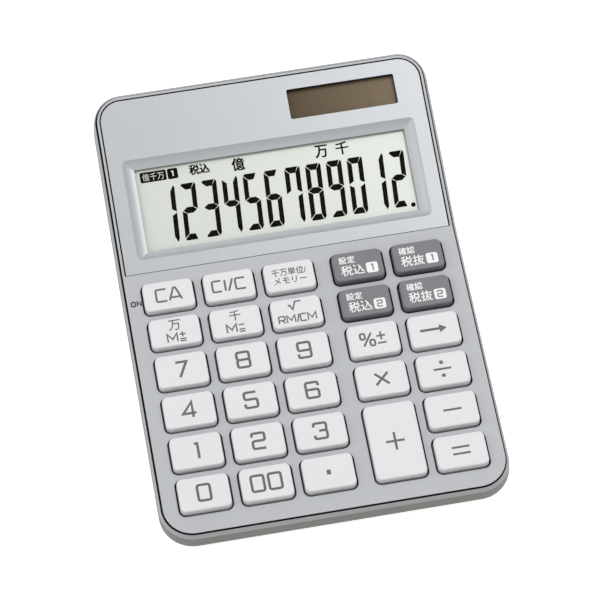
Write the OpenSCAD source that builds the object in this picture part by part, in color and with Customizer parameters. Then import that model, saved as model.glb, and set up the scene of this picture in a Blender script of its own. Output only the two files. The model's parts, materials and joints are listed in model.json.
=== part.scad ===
// Desk calculator: sprung keys in a sloping face, a steeper display panel, and the works inside.
// +X right, +Y to the rear, +Z up; the origin is on the table, under the middle of the case.

/* [Keys] */
// Width of a key
key_w = 15.4; // [13:0.1:18]
// Depth of a key in the four front rows
key_d = 10.8; // [9:0.1:14]
// Depth of a key in the two rear rows
small_key_d = 9.8; // [8:0.1:13]
// Height of the key tops above the face
key_h = 2; // [1.4:0.1:3]
// Corner radius of a key
key_r = 1.8; // [1:0.1:2.5]
// Gap between a key and its opening
key_gap = 0.33; // [0.2:0.01:0.5]
// Distance that a key is pressed
key_travel = 1.2; // [0.8:0.1:1.3]
// Wall of a key's skirt
key_wall = 1.1; // [0.8:0.1:1.5]
// Thickness of a key's top
key_top = 1.3; // [0.8:0.1:1.8]
// Radius of the post under a key
key_post_r = 2.2; // [1.5:0.1:2.5]
// Reach of a key's lips past its skirt
lip_reach = 0.8; // [0.6:0.05:0.9]
// Thickness of a key's lips
lip_t = 0.9; // [0.6:0.1:1.3]

/* [Face] */
// Strip of face between the columns of a block
column_web = 2.22; // [1.5:0.1:3.5]
// Strip of face between the left and the right block
block_web = 4.8; // [4.6:0.1:8]
// Strip of face between two rows
row_web = 1.82; // [1.7:0.1:3]
// Face between the outer columns and the side edge
side_land = 4.52; // [4.5:0.01:8]
// Face in front of the front row
front_land = 5.57; // [5.4:0.1:10]
// Face between the rear row and the display panel
rear_land = 4.04; // [3:0.1:8]
// Slope of the key face, in degrees
key_slope = 3; // [2:0.1:5]
// Thickness of the face plate
face_t = 1; // [0.8:0.1:1.5]
// Corner radius of the face at the front
corner_front = 8.7; // [6:0.1:12]
// Corner radius of the face at the rear
corner_rear = 7.6; // [5:0.1:10]
// Groove between the face plate and the rim of the case
groove = 0.45; // [0.2:0.05:0.6]

/* [Display] */
// Tilt of the display panel past the key face, in degrees
display_tilt = 11.7; // [8:0.1:15]
// Height of the display panel along its slope
panel_h = 55.3; // [52:0.1:65]
// Strip of face plate beside and behind the display panel
panel_strip = 0.85; // [0.8:0.05:2]
// Thickness of the display panel
panel_t = 1.8; // [1.5:0.1:2.4]
// Panel beside the window
window_side = 7.85; // [7.5:0.05:12]
// Panel in front of the window
window_front = 6.92; // [6.5:0.1:9]
// Height of the window along the slope
window_h = 26.1; // [20:0.1:27]
// Width of the sloped border at the window's sides
bezel_side = 3.35; // [2:0.05:4]
// Width of the sloped border at the window's rear
bezel_rear = 2.9; // [1.5:0.05:3.5]
// Width of the sloped border at the window's front
bezel_front = 2.35; // [1.5:0.05:3]
// Depth of the sloped border
bezel_depth = 1.2; // [0.6:0.1:1.4]
// Width of the solar window
solar_w = 33.2; // [20:0.1:36]
// Height of the solar window
solar_h = 9.55; // [6:0.05:10]
// Panel between the solar window and the panel's right edge
solar_side = 8.25; // [7:0.05:20]
// Panel between the solar window and the panel's rear edge
solar_rear = 4.75; // [4.5:0.05:8]

/* [Case] */
// Reach of the case's widest line past the face
side_flare = 1.45; // [1.3:0.05:3]
// Reach of the crease below the rim past the face
crease_reach = 1.2; // [0.7:0.05:1.2]
// Depth of the crease below the face
crease_drop = 1.9; // [1:0.1:2]
// Depth of the widest line below the face, at the front
widest_drop = 6; // [4:0.1:6.4]
// How much lower the widest line lies at the rear
widest_fall = 1.3; // [0:0.1:3]
// How far the underside is tucked in from the face's edge
underside_tuck = 1; // [0:0.1:3]
// Wall of the lower case
wall = 1.8; // [1.4:0.1:2.2]
// Floor of the lower case
floor_t = 1.8; // [1.5:0.1:3]
// Thickness of the deck under the face plate and the panel
deck_t = 1.2; // [1:0.1:2]
// Thickness of the skirt that hangs inside the lower case
skirt_t = 1; // [0.8:0.1:1.5]
// Depth of that skirt's edge below the face
skirt_drop = 3.4; // [3:0.1:4]
// Height of the feet below the case
foot_h = 1; // [0.6:0.1:2]
// Radius of a foot
foot_r = 4.5; // [3:0.1:6]

/* [Works] */
// Thickness of the circuit board
board_t = 1; // [0.8:0.1:1.6]
// Thickness of the rubber sheet
sheet_t = 0.6; // [0.4:0.1:1]
// Space under the circuit board at the front
board_clear = 0.5; // [0.4:0.1:2]
// Thickness of the display glass
lcd_t = 1.6; // [1:0.1:2]
// Radius of the button cell
cell_r = 5.8; // [4:0.1:8]
// Height of the button cell
cell_h = 5.4; // [2:0.1:5.4]
// Radius of the screw threads of the case
case_screw_r = 0.85; // [0.7:0.05:1]
// Radius of the screw threads of the board
board_screw_r = 0.68; // [0.5:0.02:0.8]

/* [Hidden] */
$fn = 48;
eps = 0.01;
cut = 1;              // overshoot of a cutting shape
beyond = 5;           // overshoot of the slabs that follow the face
joint_lap = 0.2;      // overlap of shapes that make one part
slide_gap = 0.05;     // between parts that touch lightly
fit_gap = 0.1;        // around parts that are seated in a recess
thread_gap = 0.02;    // around a screw's thread
hole_gap = 0.2;       // around a screw's shank
head_gap = 0.15;      // around a screw's head
boss_gap = 0.4;       // around a boss that passes through a sheet
columns = 5;
left_columns = 3;     // columns in the left block
deep_rows = 4;        // front rows with the deeper keys
rows = 6;

// name, column from the left, row from the front, rows that the key spans
KEYS = [
    ["key_0", 0, 0, 1], ["key_00", 1, 0, 1], ["key_point", 2, 0, 1],
    ["key_plus", 3, 0, 2], ["key_equals", 4, 0, 1],
    ["key_1", 0, 1, 1], ["key_2", 1, 1, 1], ["key_3", 2, 1, 1], ["key_minus", 4, 1, 1],
    ["key_4", 0, 2, 1], ["key_5", 1, 2, 1], ["key_6", 2, 2, 1],
    ["key_multiply", 3, 2, 1], ["key_divide", 4, 2, 1],
    ["key_7", 0, 3, 1], ["key_8", 1, 3, 1], ["key_9", 2, 3, 1],
    ["key_percent", 3, 3, 1], ["key_back", 4, 3, 1],
    ["key_memory_add", 0, 4, 1], ["key_memory_total", 1, 4, 1], ["key_memory_recall", 2, 4, 1],
    ["key_tax_in_2", 3, 4, 1], ["key_tax_out_2", 4, 4, 1],
    ["key_clear_all", 0, 5, 1], ["key_clear", 1, 5, 1], ["key_unit", 2, 5, 1],
    ["key_tax_in_1", 3, 5, 1], ["key_tax_out_1", 4, 5, 1]
];

// ---- Key layout, in the plane of the key face: x across, s from the front edge ----
opening_w = key_w + 2 * key_gap;
keys_w = columns * opening_w + (columns - 2) * column_web + block_web;
deep_pitch = key_d + 2 * key_gap + row_web;
small_pitch = small_key_d + 2 * key_gap + row_web;

function column_x(c) =
    -keys_w / 2 + opening_w / 2 + c * (opening_w + column_web)
    + (c >= left_columns ? block_web - column_web : 0);
function row_s(r) = front_land + min(r, deep_rows) * deep_pitch + max(r - deep_rows, 0) * small_pitch;
function row_depth(r) = (r < deep_rows ? key_d : small_key_d) + 2 * key_gap;
function opening_depth(k) = row_s(k[2] + k[3] - 1) + row_depth(k[2] + k[3] - 1) - row_s(k[2]);
function opening_s(k) = row_s(k[2]) + opening_depth(k) / 2;
function row_middle(r) = row_s(r) + row_depth(r) / 2;

// ---- Levels below the key face, measured square to it ----
lip_top = face_t + deck_t + slide_gap;
lip_base = lip_top + lip_t;
dome_top = lip_base + slide_gap;
travel_spare = 0.2;
dome_h = key_travel + travel_spare;       // the sheet clears a pressed key
sheet_top = dome_top + dome_h;
board_top = sheet_top + sheet_t;
board_base = board_top + board_t;
dome_base_r = 3.2;
dome_top_r = 2.4;
dome_hollow_r = 3;
dome_wall = 0.6;
dome_roof = 0.5;

// ---- The face ----
face_w = keys_w + 2 * side_land;
face_s = row_s(rows - 1) + row_depth(rows - 1) + rear_land;   // to the display panel
panel_slope = key_slope + display_tilt;
front_h = foot_h + floor_t + board_clear + board_base;
case_w = face_w + 2 * side_flare;
key_plan = face_s * cos(key_slope);
display_plan = (panel_h + panel_strip) * cos(panel_slope);
case_d = key_plan + display_plan + 2 * side_flare;
y_front = -case_d / 2 + side_flare;
y_bend = y_front + key_plan;
y_rear = y_bend + display_plan;
z_bend = front_h + face_s * sin(key_slope);
floor_top = foot_h + floor_t;
case_h = z_bend + (panel_h + panel_strip) * sin(panel_slope);
rim_w = 0.1;           // flat top of the rim outside the groove
edge_reach = 0.2;      // the case's lower edge, past the face
edge_rise = 0.9;       // the lower edge, above the underside
inner_rise = 0.1;      // the same edge inside, above the floor

// height of the face above a place in plan
function face_z(y) = z_bend + (y - y_bend) * tan(y < y_bend ? key_slope : panel_slope);
// underside of the deck, which is lower behind the bend
function deck_z(y) = face_z(y) - (y < y_bend ? face_t : panel_t) - deck_t;
// a place on the display panel's slope, as [y, z]
function on_panel(v, n) = [
    y_bend + v * cos(panel_slope) - n * sin(panel_slope),
    z_bend + v * sin(panel_slope) + n * cos(panel_slope)
];
// a place in the key face's frame, as [y, z]
function on_keys(s, n) = [
    y_front + s * cos(key_slope) - n * sin(key_slope),
    front_h + s * sin(key_slope) + n * cos(key_slope)
];

// ---- Display, in the plane of the panel: x across, v from the bend ----
panel_w = face_w - 2 * panel_strip;
window_w = panel_w - 2 * window_side;
window_v = window_front + window_h / 2;
lens_lap = 1.2;
lens_t = 0.8;
glass_lap = 1;
glass_gap = 0.2;       // lens to glass
lcd_top = panel_t + lens_t + glass_gap;
reflector_t = 0.2;
reflector_short = 3;   // the film ends short of the glass, for the ribbon
frame_gap = 0.3;       // lens to frame, and frame to deck
frame_wall = 1.2;
frame_ledge = 2;
frame_floor = 0.75;
frame_base = lcd_top + lcd_t + reflector_t + slide_gap + frame_floor;
frame_in = lens_lap + frame_gap;
frame_out = frame_in + frame_wall;
solar_x = panel_w / 2 - solar_side - solar_w / 2;
solar_v = panel_h - solar_rear - solar_h / 2;
cell_lap = 1;
cell_t = 1.1;

// ---- Screws and bosses ----
board_boss_r = 1.6;
boss_web = 0.1;        // a boss to the nearest key opening
border_x = keys_w / 2 + board_boss_r + boss_web;
block_x = (column_x(left_columns - 1) + column_x(left_columns)) / 2;
board_boss_places = [
    for (x = [-border_x, block_x, border_x], r = [1, 3, 5]) [x, row_s(r) - row_web / 2]
];
board_head_r = 1.4;
board_head_h = 0.9;
upper_boss_r = 1.5;
lower_boss_r = 2.5;
upper_boss_h = 2.4;    // below the deck
seat_drop = 2.4;       // from a boss's top down to its screw head
case_head_r = 1.5;
case_head_h = 1.2;
boss_front = 2.9;      // from the front edge of the face
boss_rear = 8.5;       // from the rear edge of the face
boss_past_bend = 1;
boss_side = 10.75;     // from the side edge of the face, at the front
boss_side_rear = 4.9;  // at the rear, beside the solar cell
boss_x = face_w / 2 - boss_side;
case_boss_places = [
    for (side = [-1, 1]) each [
        [side * boss_x, y_front + boss_front],
        [side * border_x, y_bend + boss_past_bend],
        [side * (face_w / 2 - boss_side_rear), y_rear - boss_rear]
    ]
];
thread_end = 0.3;      // a screw's tip to the end of its hole
slot_w = 0.4;

// ---- Feet ----
foot_sink = 0.6;
foot_edge = 0.3;       // chamfer
foot_side = 12.5;      // from the edges of the face
foot_front = 13;
foot_rear = 12;
foot_places = [
    for (x = [-1, 1], y = [y_front + foot_front, y_rear - foot_rear]) [x * (face_w / 2 - foot_side), y]
];

// ---- Board, and what it carries ----
board_side = 0.6;      // to the case's wall
board_front = 1.9;     // past the front bosses
board_rear = 3.2;      // to the bend
board_half_w = face_w / 2 - wall - board_side;
board_s0 = boss_front + board_front;
board_s1 = face_s - board_rear;
ribbon_land = 2.8;     // strip of the board that the sheet leaves free
ribbon_gap = 0.4;      // sheet to ribbon
ribbon_reach = 1.5;    // past the front edge of the window
ribbon_side = 12.5;    // ribbon's edge to the window's side
sheet_s1 = board_s1 - ribbon_land;
chip_r = 6;
chip_edge = 1.5;
chip_h = 1.4;
chip_x = -12;
chip_inset = 12;       // from the board's rear edge
capacitor_r = 2;
capacitor_h = 3;
capacitor_x = -32;
capacitor_inset = 8;
wire_land = 1.5;       // wires' ends from the board's rear edge
wire_lead = 1;         // a wire's straight start
solar_wire_r = 0.4;
solar_wire_x = 3;      // from the cell's middle
solar_wire_run = 4;
solar_wire_drop = 2;   // below the display's frame
battery_wire_r = 0.35;
battery_wire_x = 1.5;  // from the cell's middle
battery_wire_run = 3;
battery_wire_rise = 3; // above the floor
battery_wire_turn = 6; // behind the bend

// ---- Battery ----
cell_side = 28.4;      // the cell's middle, from the left edge of the face
cell_behind = 30;      // and from the bend
cell_x = cell_side - face_w / 2;
cell_y = y_bend + cell_behind;
cell_step = 0.6;
cell_rim = 0.7;
well_gap = 0.3;
well_wall = 1.2;
well_r = cell_r + well_gap + well_wall;
contact_t = 0.3;
contact_w = 5;
contact_inset = 0.5;
cover_t = 1.2;
cover_r = 1.5;
cover_side = 7.5;      // the cover's end past the cell, less the shift
cover_end = 2.5;
cover_w = 2 * (cell_r + cover_side);
cover_d = 2 * (cell_r + cover_end);
cover_shift = 4.5;     // the cover's middle, to the right of the cell
cover_screw_side = 7;  // the screw, past the cell
cover_screw_x = cell_x + cell_r + cover_screw_side;
cover_screw_l = 3.5;
cover_head_h = 0.6;
cover_seat = 0.7;      // of the screw's head, above the underside
cover_boss_r = 2.2;
cover_boss_h = 4;
cell_base = foot_h + cover_t + contact_t;
cell_top = cell_base + cell_h;

// ---- Outlines ----
corner_steps = 8;

module rounded(w, d, r) {
    square([w, d - 2 * r], center = true);
    square([w - 2 * r, d], center = true);
    for (x = [-1, 1], y = [-1, 1]) translate([x * (w / 2 - r), y * (d / 2 - r)]) circle(r);
}

// the face's outline in plan, grown by o
module face_outline(o) {
    hw = face_w / 2 + o;
    y0 = y_front - o;
    y1 = y_rear + o;
    rf = corner_front + o;
    rr = corner_rear + o;
    polygon([
        [-hw + rf, y0], [hw - rf, y0], [hw, y0 + rf], [hw, y1 - rr],
        [hw - rr, y1], [-hw + rr, y1], [-hw, y1 - rr], [-hw, y0 + rf]
    ]);
    for (x = [-1, 1]) {
        translate([x * (hw - rf), y0 + rf]) circle(rf);
        translate([x * (hw - rr), y1 - rr]) circle(rr);
    }
}

// a [y, z] polygon made into a slab of width w across X
module across(w) {
    rotate([90, 0, 90]) translate([0, 0, -w / 2]) linear_extrude(w) children();
}

// the layer between two depths below the face, within the outline grown by o
module bent_layer(o, top, base) {
    y0 = y_front - beyond;
    y1 = y_rear + beyond;
    intersection() {
        linear_extrude(case_h + beyond) face_outline(o);
        across(case_w + beyond) polygon([
            [y0, face_z(y0) - top], [y_bend, z_bend - top], [y1, face_z(y1) - top],
            [y1, face_z(y1) - base], [y_bend, z_bend - base], [y0, face_z(y0) - base]
        ]);
    }
}

function arc(cx, cy, r, a0) = [
    for (i = [0:corner_steps]) let (a = a0 + 90 * i / corner_steps) [cx + r * cos(a), cy + r * sin(a)]
];

// the outline grown by o as points, anticlockwise from the right end of the bend
function outline_points(o) =
    let (hw = face_w / 2 + o, y0 = y_front - o, y1 = y_rear + o,
         rf = corner_front + o, rr = corner_rear + o)
    concat(
        [[hw, y_bend]],
        arc(hw - rr, y1 - rr, rr, 0), arc(-hw + rr, y1 - rr, rr, 90),
        [[-hw, y_bend]],
        arc(-hw + rf, y0 + rf, rf, 180), arc(hw - rf, y0 + rf, rf, 270)
    );
left_bend = 2 * (corner_steps + 1) + 1;     // index of the left end of the bend

// rings that follow the face at a depth, follow the widest line, or lie level
function ring_below(o, drop) = [for (p = outline_points(o)) [p[0], p[1], face_z(p[1]) - drop]];
function widest_z(y) = face_z(y) - widest_drop - widest_fall * max(0, min(1, (y - y_front) / case_d));
function ring_widest(o) = [for (p = outline_points(o)) [p[0], p[1], widest_z(p[1])]];
function ring_level(o, z) = [for (p = outline_points(o)) [p[0], p[1], z]];

// a closed solid through rings, from the top one down
module loft(rings) {
    n = len(rings[0]);
    last = (len(rings) - 1) * n;
    polyhedron(
        points = [for (ring = rings) each ring],
        faces = concat(
            [[for (i = [left_bend:-1:0]) i]],
            [concat([0], [for (i = [n - 1:-1:left_bend]) i])],
            [for (k = [0:len(rings) - 2], i = [0:n - 1]) each
                let (a = k * n + i, b = k * n + (i + 1) % n) [[a, b, b + n], [a, b + n, a + n]]],
            [[for (i = [0:left_bend]) last + i]],
            [concat([for (i = [left_bend:n - 1]) last + i], [last])]
        )
    );
}

module key_frame() {
    translate([0, y_front, front_h]) rotate([key_slope, 0, 0]) children();
}

module panel_frame() {
    translate([0, y_bend, z_bend]) rotate([panel_slope, 0, 0]) children();
}

// a straight prism between two depths below the plane of its frame
module between(top, base) {
    translate([0, 0, -base]) linear_extrude(base - top) children();
}

module key_openings() {
    key_frame() between(-cut, lip_top + cut) for (k = KEYS)
        translate([column_x(k[1]), opening_s(k)])
            rounded(opening_w, opening_depth(k), key_r + key_gap);
}

// the panel's outline, square at the bend and rounded at the rear
module panel_outline(grow) {
    hw = panel_w / 2 + grow;
    top = panel_h + grow;
    r = corner_rear - panel_strip + grow;
    polygon([[-hw, 0], [hw, 0], [hw, top - r], [hw - r, top], [-hw + r, top], [-hw, top - r]]);
    for (x = [-1, 1]) translate([x * (hw - r), top - r]) circle(r);
}

module window_rect(grow) {
    translate([0, window_v]) square([window_w + 2 * grow, window_h + 2 * grow], center = true);
}

module solar_rect(grow) {
    translate([solar_x, solar_v]) square([solar_w + 2 * grow, solar_h + 2 * grow], center = true);
}

// flat film along a [y, z] path
function sides(path, t) = [
    for (i = [0:len(path) - 1])
        let (a = path[max(i - 1, 0)], b = path[min(i + 1, len(path) - 1)], d = (b - a) / norm(b - a))
        path[i] + t / 2 * [-d[1], d[0]]
];
module film(path, t, w) {
    across(w) polygon(concat(sides(path, t), [for (i = [len(path) - 1:-1:0]) sides(path, -t)[i]]));
}

// round wire along a [y, z] path, at x
module wire(x, path, r) {
    steps = 8;
    last = (len(path) - 1) * steps;
    polyhedron(
        points = [
            for (i = [0:len(path) - 1])
                let (side = sides(path, 2)[i] - path[i])
                for (a = [0:360 / steps:359])
                    [x + r * cos(a), path[i][0] + r * sin(a) * side[0], path[i][1] + r * sin(a) * side[1]]
        ],
        faces = concat(
            [[for (i = [0:steps - 1]) i]],
            [for (k = [0:len(path) - 2], i = [0:steps - 1]) each
                let (a = k * steps + i, b = k * steps + (i + 1) % steps)
                [[b, a, a + steps], [b, a + steps, b + steps]]],
            [[for (i = [steps - 1:-1:0]) last + i]]
        )
    );
}

module screw(thread_r, thread_l, head_r, head_h) {
    translate([0, 0, -eps]) cylinder(r = thread_r, h = thread_l + eps);
    difference() {
        translate([0, 0, -head_h]) cylinder(r = head_r, h = head_h);
        for (a = [0, 90]) rotate(a) translate([0, 0, -head_h])
            cube([head_r, slot_w, head_h], center = true);
    }
}

// ---- Casings ----
module face_plate() {
    color("silver") difference() {
        bent_layer(0, 0, face_t);
        key_openings();
        panel_frame() between(-cut, panel_t + cut) panel_outline(fit_gap);
    }
}

module deck_hollow() {
    y0 = y_front - beyond;
    y1 = y_rear + beyond;
    intersection() {
        linear_extrude(case_h) face_outline(-wall / 2 - fit_gap - skirt_t);
        across(case_w) polygon([
            [y0, face_z(y0) - face_t - deck_t], [y_bend, z_bend - face_t - deck_t],
            [y_bend, z_bend - panel_t - deck_t], [y1, face_z(y1) - panel_t - deck_t],
            [y1, 0], [y0, 0]
        ]);
    }
}

module upper_case() {
    color("gainsboro") difference() {
        union() {
            difference() {
                union() {
                    loft([ring_below(groove + rim_w, 0), ring_below(crease_reach, crease_drop)]);
                    bent_layer(-wall / 2 - fit_gap, crease_drop - joint_lap, skirt_drop);
                }
                bent_layer(groove, -cut, face_t);
                deck_hollow();
            }
            key_frame() for (p = board_boss_places)
                translate([p[0], p[1], -board_top])
                    cylinder(r = board_boss_r, h = board_top - face_t - joint_lap);
            for (p = case_boss_places)
                translate([p[0], p[1], deck_z(p[1]) - upper_boss_h])
                    cylinder(r = upper_boss_r, h = upper_boss_h + deck_t / 2);
        }
        key_openings();
        panel_frame() between(-cut, panel_t) panel_outline(fit_gap);
        panel_frame() between(0, frame_base) window_rect(frame_out + frame_gap);
        panel_frame() between(0, panel_t + deck_t + cut) solar_rect(cell_lap + frame_gap);
        key_frame() for (p = board_boss_places)
            translate([p[0], p[1], -board_top - cut])
                cylinder(r = board_screw_r + thread_gap, h = board_top - face_t - deck_t / 2 + cut);
        for (p = case_boss_places)
            translate([p[0], p[1], deck_z(p[1]) - upper_boss_h - cut])
                cylinder(r = case_screw_r + thread_gap, h = upper_boss_h + cut);
    }
}

module lower_case() {
    color("rosybrown") difference() {
        union() {
            difference() {
                loft([
                    ring_below(crease_reach, crease_drop), ring_widest(side_flare),
                    ring_level(edge_reach, foot_h + edge_rise), ring_level(-underside_tuck, foot_h)
                ]);
                loft([
                    ring_below(-wall / 2, crease_drop - cut), ring_below(-wall / 2, skirt_drop),
                    ring_widest(side_flare - wall), ring_level(edge_reach - wall, floor_top + inner_rise),
                    ring_level(-underside_tuck - wall, floor_top)
                ]);
            }
            for (p = case_boss_places)
                translate([p[0], p[1], floor_top - joint_lap])
                    cylinder(r = lower_boss_r, h = deck_z(p[1]) - upper_boss_h - floor_top + joint_lap);
            translate([cell_x, cell_y, foot_h + cover_t])
                cylinder(r = well_r, h = cell_top - foot_h - cover_t);
            translate([cover_screw_x, cell_y, foot_h + cover_t])
                cylinder(r = cover_boss_r, h = cover_boss_h);
        }
        for (p = case_boss_places) {
            translate([p[0], p[1], 0]) cylinder(r = case_screw_r + hole_gap, h = case_h);
            translate([p[0], p[1], 0])
                cylinder(r = case_head_r + head_gap, h = deck_z(p[1]) - upper_boss_h - seat_drop);
        }
        panel_frame() between(0, panel_t + slide_gap) panel_outline(fit_gap);
        translate([cell_x, cell_y, 0]) cylinder(r = cell_r + well_gap, h = case_h);
        translate([cover_screw_x, cell_y, 0])
            cylinder(r = case_screw_r + thread_gap, h = foot_h + cover_seat + cover_screw_l + thread_end);
        translate([cell_x + cover_shift, cell_y, 0]) linear_extrude(foot_h + cover_t)
            rounded(cover_w + 2 * fit_gap, cover_d + 2 * fit_gap, cover_r + fit_gap);
        for (p = foot_places)
            translate([p[0], p[1], 0]) cylinder(r = foot_r + fit_gap, h = foot_h + foot_sink);
    }
}

// ---- Display ----
module display_panel() {
    color("lightgray") panel_frame() difference() {
        between(0, panel_t) panel_outline(0);
        hull() {
            between(-eps, 0) translate([0, (bezel_rear - bezel_front) / 2 + window_v])
                square([window_w + 2 * bezel_side, window_h + bezel_rear + bezel_front], center = true);
            between(bezel_depth, bezel_depth + eps) window_rect(0);
        }
        between(0, panel_t + cut) window_rect(0);
        between(-cut, panel_t + cut) solar_rect(0);
    }
}

module display_window() {
    color("azure", 0.4) panel_frame() between(panel_t, panel_t + lens_t) window_rect(lens_lap);
}

module lcd_frame() {
    ledge_base = lcd_top + lcd_t;
    color("whitesmoke") panel_frame() difference() {
        between(panel_t + slide_gap, frame_base) window_rect(frame_out);
        between(0, ledge_base + reflector_t + slide_gap) window_rect(frame_in);
        between(0, frame_base + cut) window_rect(-frame_ledge);
        // the ribbon leaves under the front bar
        between(ledge_base, frame_base + cut)
            translate([0, window_front - frame_out]) square([window_w, 4 * frame_out], center = true);
    }
}

module lcd_glass() {
    color("honeydew") panel_frame() between(lcd_top, lcd_top + lcd_t) window_rect(glass_lap);
}

module lcd_reflector() {
    top = lcd_top + lcd_t;
    color("white") panel_frame() between(top, top + reflector_t)
        translate([0, window_v + reflector_short / 2])
            square([window_w + glass_lap, window_h - reflector_short], center = true);
}

module lcd_ribbon() {
    t = reflector_t;
    level = -(lcd_top + lcd_t + t / 2);
    color("orange") film([
        on_keys(sheet_s1 + ribbon_gap, -board_top + t / 2), on_keys(board_s1, -board_top + t / 2),
        on_panel(window_front - frame_out, level), on_panel(window_front + ribbon_reach, level)
    ], t, window_w - 2 * ribbon_side);
}

module solar_cell() {
    color("saddlebrown") panel_frame() between(panel_t, panel_t + cell_t) solar_rect(cell_lap);
}

module solar_wires() {
    back = panel_t + cell_t;
    low = frame_base + solar_wire_drop;
    color("red") for (side = [-1, 1]) wire(solar_x + side * solar_wire_x, [
        on_panel(solar_v, -back), on_panel(solar_v, -back - wire_lead),
        on_panel(solar_v - solar_wire_run, -low), on_panel(window_front, -low),
        on_keys(board_s1 - wire_land, -board_base - solar_wire_r - fit_gap)
    ], solar_wire_r);
}

// ---- Keys and contacts ----
module key(k) {
    dark = k[2] >= deep_rows && k[1] >= left_columns;
    depth = opening_depth(k) - 2 * key_gap;
    color(dark ? "dimgray" : "white") key_frame() translate([column_x(k[1]), opening_s(k), 0]) {
        difference() {
            between(-key_h, lip_base) rounded(key_w, depth, key_r);
            between(-key_h + key_top, lip_base + cut)
                rounded(key_w - 2 * key_wall, depth - 2 * key_wall, key_r - key_wall / 2);
        }
        for (side = [-1, 1]) translate([0, side * (depth + lip_reach - joint_lap) / 2])
            between(lip_top, lip_base)
                square([key_w - 2 * key_r, lip_reach + joint_lap], center = true);
        for (r = [k[2]:k[2] + k[3] - 1]) translate([0, row_middle(r) - opening_s(k)])
            between(-key_h + key_top / 2, lip_base) circle(key_post_r);
    }
}

module key_membrane() {
    color("lightslategray") key_frame() difference() {
        union() {
            between(sheet_top, board_top)
                translate([-board_half_w, board_s0]) square([2 * board_half_w, sheet_s1 - board_s0]);
            for (k = KEYS, r = [k[2]:k[2] + k[3] - 1])
                translate([column_x(k[1]), row_middle(r), -sheet_top])
                    cylinder(r1 = dome_base_r, r2 = dome_top_r, h = dome_h);
        }
        for (k = KEYS, r = [k[2]:k[2] + k[3] - 1])
            translate([column_x(k[1]), row_middle(r), -board_top - cut])
                cylinder(
                    r1 = dome_hollow_r, r2 = dome_top_r - dome_wall,
                    h = sheet_t + dome_h - dome_roof + cut
                );
        for (p = board_boss_places) translate([p[0], p[1], -board_top - cut])
            cylinder(r = board_boss_r + boss_gap, h = sheet_t + 2 * cut);
        for (side = [-1, 1]) translate([side * boss_x, boss_front, -board_top - cut])
            cylinder(r = lower_boss_r + boss_gap, h = sheet_t + 2 * cut);
    }
}

module main_board() {
    color("darkgreen") key_frame() difference() {
        between(board_top, board_base)
            translate([-board_half_w, board_s0]) square([2 * board_half_w, board_s1 - board_s0]);
        for (p = board_boss_places) translate([p[0], p[1], -board_base - cut])
            cylinder(r = board_screw_r + hole_gap, h = board_t + 2 * cut);
        for (side = [-1, 1]) translate([side * boss_x, boss_front, -board_base - cut])
            cylinder(r = lower_boss_r + boss_gap, h = board_t + 2 * cut);
    }
}

module chip_cover() {
    color("black") key_frame() translate([chip_x, board_s1 - chip_inset, -board_base - chip_h])
        cylinder(r1 = chip_r - chip_edge, r2 = chip_r, h = chip_h);
}

module capacitor() {
    color("navy") key_frame()
        translate([capacitor_x, board_s1 - capacitor_inset, -board_base - capacitor_h])
            cylinder(r = capacitor_r, h = capacitor_h);
}

// ---- Battery ----
module button_cell() {
    color("gainsboro") translate([cell_x, cell_y, cell_base]) {
        cylinder(r = cell_r, h = cell_h - cell_step);
        cylinder(r = cell_r - cell_rim, h = cell_h);
    }
}

module battery_contact_top() {
    color("gold") translate([cell_x, cell_y, cell_top]) {
        linear_extrude(contact_t) square([contact_w, 2 * well_r], center = true);
    }
}

module battery_contact_base() {
    color("gold") translate([cell_x, cell_y, foot_h + cover_t])
        cylinder(r = cell_r - contact_inset, h = contact_t);
}

module battery_wires() {
    high = cell_top + contact_t + battery_wire_r;
    color("black") for (side = [-1, 1]) wire(cell_x + side * battery_wire_x, [
        [cell_y - well_r + wire_lead, high], [cell_y - well_r - wire_lead, high],
        [cell_y - well_r - battery_wire_run, cell_top],
        [y_bend + battery_wire_turn, floor_top + battery_wire_rise],
        on_keys(board_s1 - wire_land, -board_base - battery_wire_r - fit_gap)
    ], battery_wire_r);
}

module battery_cover() {
    color("rosybrown") difference() {
        translate([cell_x + cover_shift, cell_y, foot_h])
            linear_extrude(cover_t) rounded(cover_w, cover_d, cover_r);
        translate([cover_screw_x, cell_y, 0])
            cylinder(r = case_screw_r + hole_gap, h = foot_h + cover_t + cut);
        translate([cover_screw_x, cell_y, 0])
            cylinder(r = case_head_r + head_gap, h = foot_h + cover_seat);
    }
}

// ---- Fasteners and feet ----
module battery_cover_screw() {
    color("silver") translate([cover_screw_x, cell_y, foot_h + cover_seat])
        screw(case_screw_r, cover_screw_l, case_head_r, cover_head_h);
}

module case_screws() {
    color("silver") for (p = case_boss_places)
        translate([p[0], p[1], deck_z(p[1]) - upper_boss_h - seat_drop])
            screw(case_screw_r, seat_drop + upper_boss_h - thread_end, case_head_r, case_head_h);
}

module board_screws() {
    color("silver") key_frame() for (p = board_boss_places)
        translate([p[0], p[1], -board_base])
            screw(board_screw_r, board_base - face_t - deck_t / 2 - thread_end, board_head_r, board_head_h);
}

module rubber_feet() {
    color("dimgray") for (p = foot_places) translate([p[0], p[1], 0]) {
        cylinder(r1 = foot_r - foot_edge, r2 = foot_r, h = foot_edge);
        translate([0, 0, foot_edge]) cylinder(r = foot_r, h = foot_h + foot_sink - foot_edge);
    }
}

face_plate();
upper_case();
lower_case();
display_panel();
display_window();
lcd_frame();
lcd_glass();
lcd_reflector();
lcd_ribbon();
solar_cell();
solar_wires();
key_membrane();
main_board();
chip_cover();
capacitor();
button_cell();
battery_contact_top();
battery_contact_base();
battery_wires();
battery_cover();
battery_cover_screw();
case_screws();
board_screws();
rubber_feet();
for (k = KEYS) key(k);
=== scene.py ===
import json
import math

import bmesh
import bpy
from mathutils import Matrix, Vector
from mathutils.geometry import tessellate_polygon


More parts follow.
